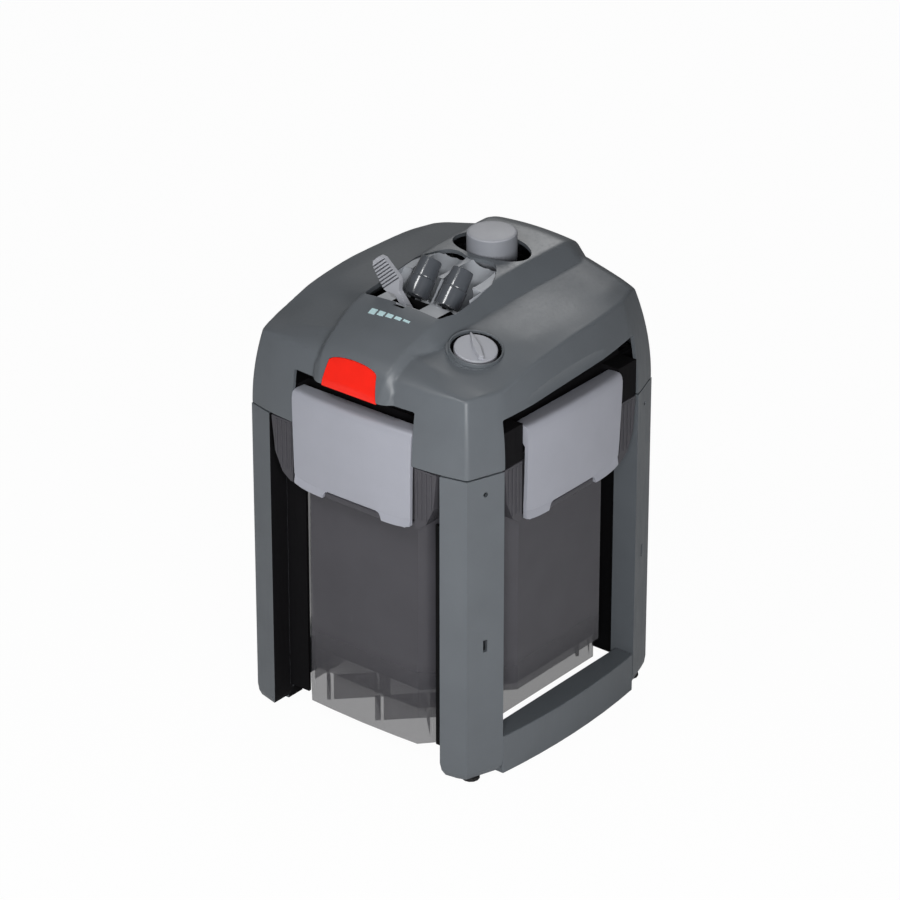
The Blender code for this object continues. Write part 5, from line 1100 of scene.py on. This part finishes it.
# %% Bypass knob, modelled upright at the origin and then stood on the deck
DISC = [
    (0.0, 0.0), (0.0148, 0.0), (0.0157, -0.0002), (0.0162, -0.0007), (0.01625, -0.0012), (0.01625, -0.0045),
    (0.0158, -0.0050), (0.0040, -0.0050), (0.0040, -0.0460), (0.0, -0.0460),
]
POINTER_TIP, POINTER_TURN = 0.0156, -10
POINTER = [
    (-0.0022, -0.0135), (0.0022, -0.0135), (0.0034, 0.0), (0.0006, POINTER_TIP), (-0.0006, POINTER_TIP),
    (-0.0034, 0.0),
]
TOP_SHARE, TIP_DROP = 0.75, 0.0006  # the pointer is narrower on top and falls towards its tip
disc = turned("knob_disc", DISC, (0, 0, 0), (0, 0, 1), 128)
pointer = plate("knob_pointer", POINTER, -0.001, 0.0030)
for point in pointer.data.vertices:
    if point.co.z > 0:
        point.co.x *= TOP_SHARE
        point.co.z -= TIP_DROP * max(point.co.y / POINTER_TIP, 0)
round_edges(pointer, 0.0004, 3)
pointer.data.transform(about_z(POINTER_TURN))
carve(disc, pointer, "UNION")
stood(disc, KNOB_FACE, KNOB_UP)
soft_shading(disc)
dress(disc, LIGHT, "knob", "light", "bypass_knob")

# %% [markdown]
# ## Flow bars
# Five pale printed bars stand in front of the lever, each shorter than the last. They are the only print on
# the bonnet. Each is a thin slab that follows the band's curve and is sunk into it.

# %% Printed bars that lie on the band
BAR_COUNT, FIRST_BAR_X, BAR_STEP, BAR_WIDTH = 5, -0.0170, 0.0076, 0.0058
BAR_BACK_Y, BAR_LENGTH, BAR_SHRINK = -0.0730, 0.0052, 6.5
BAR_PROUD, BAR_SUNK = 0.00012, 0.0006
BOX_FACES = [(0, 1, 3, 2), (4, 6, 7, 5), (0, 4, 5, 1), (2, 3, 7, 6), (0, 2, 6, 4), (1, 5, 7, 3)]
bars = []
for i in range(BAR_COUNT):
    x = FIRST_BAR_X + i * BAR_STEP
    front = BAR_BACK_Y - BAR_LENGTH * (1 - i / BAR_SHRINK)
    corners = [(u, v) for v in (front, BAR_BACK_Y) for u in (x, x + BAR_WIDTH)]
    heights = [float(band_height(np.array([abs(u)]), np.array([v]))[0]) + SEAM for u, v in corners]
    low = min(heights) - BAR_SUNK
    top = [(u, v, z + BAR_PROUD) for (u, v), z in zip(corners, heights)]
    mesh = bpy.data.meshes.new("flow_bar")
    mesh.from_pydata(top + [(u, v, low) for u, v in corners], [], BOX_FACES)
    bars.append(linked("flow_bar", mesh))
dress(face_outwards(joined("flow_bars", bars)), PRINT, "housing", "light")

# %% [markdown]
# ## Soft fillings
# Sponge, fleece and media are never plain blocks. Each block is cut finely and its skin is pushed in:
# large soft waves for the foam and the fleece, small pebbles for the media.

# %% Foam and media blocks
VOXEL = 0.0025


def filling(name, node, look, slot, size, depth, kind="CLOUDS"):
    piece = node_copy(name, node)
    apply_modifier(piece, "REMESH", mode="VOXEL", voxel_size=VOXEL)
    pattern = bpy.data.textures.new(name, kind)
    pattern.noise_scale = size
    apply_modifier(piece, "DISPLACE", texture=pattern, strength=depth, mid_level=1.0, texture_coords="LOCAL")
    soft_shading(piece, 60, weighted=False)
    dress(piece, look, "housing", slot, node)


filling("foam_block", "prefilter_sponge", SPONGE, "sponge", 0.008, 0.0012)
filling("fleece_sheet", "fine_pad", FLEECE, "fleece", 0.012, 0.0010)
for level in ("lower", "upper"):
    filling("media_fill_" + level, "media_" + level, MEDIA, "media", 0.007, 0.0035, "VORONOI")

# %% [markdown]
# ## Pieces whose solids are right
# The hidden works keep their solids: pump, valve, baskets, riser, seals and screws. Each gets its finish.

# %% Finishes for the solids that stay
STAYS = (
    (BLACK, ["bypass_valve", "motor_pot", "impeller_cover", "riser_tube", "prefilter_tray", "prime_sleeve"]),
    (BLACK, ["basket_lower", "basket_upper", "basket_grip_lower", "basket_grip_upper", "cord_gland"]),
    (RUBBER, ["head_seal", "adapter_seal_left", "adapter_seal_right"]),
    (RUBBER, ["shaft_bush_upper", "shaft_bush_lower"]),
    (STEEL, ["lever_pin", "prime_spring"] + ["cover_screw_" + corner for corner in CORNERS]),
    (CERAMIC, ["impeller", "impeller_shaft"]),
)
for look, names in STAYS:
    for node_name in names:
        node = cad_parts[node_name]
        if not node.material_slots:
            node.data.materials.append(look)
        for material_slot in node.material_slots:
            material_slot.material = look
print("kept", sum(len(names) for _, names in STAYS), "solids")

# %% [markdown]
# ## Studio
# The light is a dim pale world, a large soft lamp beside the camera that meets the near corner head on,
# one far behind on the left that glances off the deck, and a narrow one above the front that draws the long
# streaks on the nozzles. The left and right ends fall darker.
# The floor and the background show white to the camera only.

# %% Floor
FLOOR_SIZE, FLOOR_Z = 8.0, -0.0002
WHITE = (1.0, 1.0, 1.0, 1.0)
SEEN_WHITE = 0.97  # share of plain white in what the camera sees, the rest keeps the shadow
clear_selection()
bpy.ops.mesh.primitive_plane_add(size=FLOOR_SIZE, location=(0, 0, FLOOR_Z))
floor = settle(named("studio_floor"))
paper = bpy.data.materials.new("floor_paper")
paper.use_nodes = True
paper_tree = paper.node_tree
sheet = paper_tree.nodes["Principled BSDF"]
sheet.inputs["Base Color"].default_value = (0.85, 0.85, 0.85, 1.0)
sheet.inputs["Roughness"].default_value = 0.9
glow = paper_tree.nodes.new("ShaderNodeEmission")
glow.inputs["Color"].default_value = WHITE
blend = paper_tree.nodes.new("ShaderNodeMixShader")
to_camera = paper_tree.nodes.new("ShaderNodeLightPath").outputs["Is Camera Ray"]
paper_tree.links.new(math_node(paper_tree, "MULTIPLY", to_camera, SEEN_WHITE), blend.inputs["Fac"])
paper_tree.links.new(sheet.outputs["BSDF"], blend.inputs[1])
paper_tree.links.new(glow.outputs["Emission"], blend.inputs[2])
paper_tree.links.new(blend.outputs["Shader"], paper_tree.nodes["Material Output"].inputs["Surface"])
floor.data.materials.append(paper)

# %% World
WORLD_LIGHT, WORLD_SEEN = 0.15, 1.0
world = bpy.data.worlds.new("studio")
bpy.context.scene.world = world
world.use_nodes = True
sky = world.node_tree
path = sky.nodes.new("ShaderNodeLightPath")
seen = math_node(sky, "MAXIMUM", path.outputs["Is Camera Ray"], path.outputs["Is Transmission Ray"])
background = sky.nodes["Background"]
background.inputs["Color"].default_value = WHITE
sky.links.new(spread(sky, seen, 0.0, 1.0, WORLD_LIGHT, WORLD_SEEN), background.inputs["Strength"])


# %% Lamps
def aim(thing, place, target):
    thing.location = place
    thing.rotation_euler = (Vector(target) - Vector(place)).to_track_quat("-Z", "Y").to_euler()


def softbox(name, place, target, size, watts):
    lamp = bpy.data.lights.new(name, "AREA")
    lamp.shape = "RECTANGLE"
    lamp.size, lamp.size_y = size
    lamp.energy = watts
    aim(linked(name, lamp), place, target)


softbox("key", (0.66, -0.70, 0.52), (0, 0, 0.25), (0.45, 0.45), 6.8)
softbox("top", (-0.09, -0.83, 1.23), (0, 0, 0.3), (0.26, 0.3), 4.2)
softbox("glance", (-1.0, 1.5, 1.5), (0, 0, 0.3), (0.7, 0.7), 7.6)

# %% [markdown]
# The camera stands where the photographer's did: a level turn, a height angle and a distance from a point
# inside the filter. The lens is long, and its focal length is known in pixels of the photograph.

# %% Camera
AZIMUTH, ELEVATION, DISTANCE = math.radians(38.995), math.radians(27.14), 3.4715
TARGET = Vector((-0.00272, 0.0, 0.2045))
SENSOR, PICTURE_PIXELS, FOCAL_PIXELS = 36.0, 900.0, 4587.0
level = math.cos(ELEVATION)
away = Vector((math.sin(AZIMUTH) * level, -math.cos(AZIMUTH) * level, math.sin(ELEVATION)))
lens = bpy.data.cameras.new("photo_camera")
lens.sensor_width = SENSOR
lens.lens = FOCAL_PIXELS / PICTURE_PIXELS * SENSOR
camera = linked("photo_camera", lens)
aim(camera, TARGET + away * DISTANCE, TARGET)
bpy.context.scene.camera = camera
bpy.context.scene.view_settings.view_transform = "Standard"
print("camera", [round(v, 4) for v in camera.location])
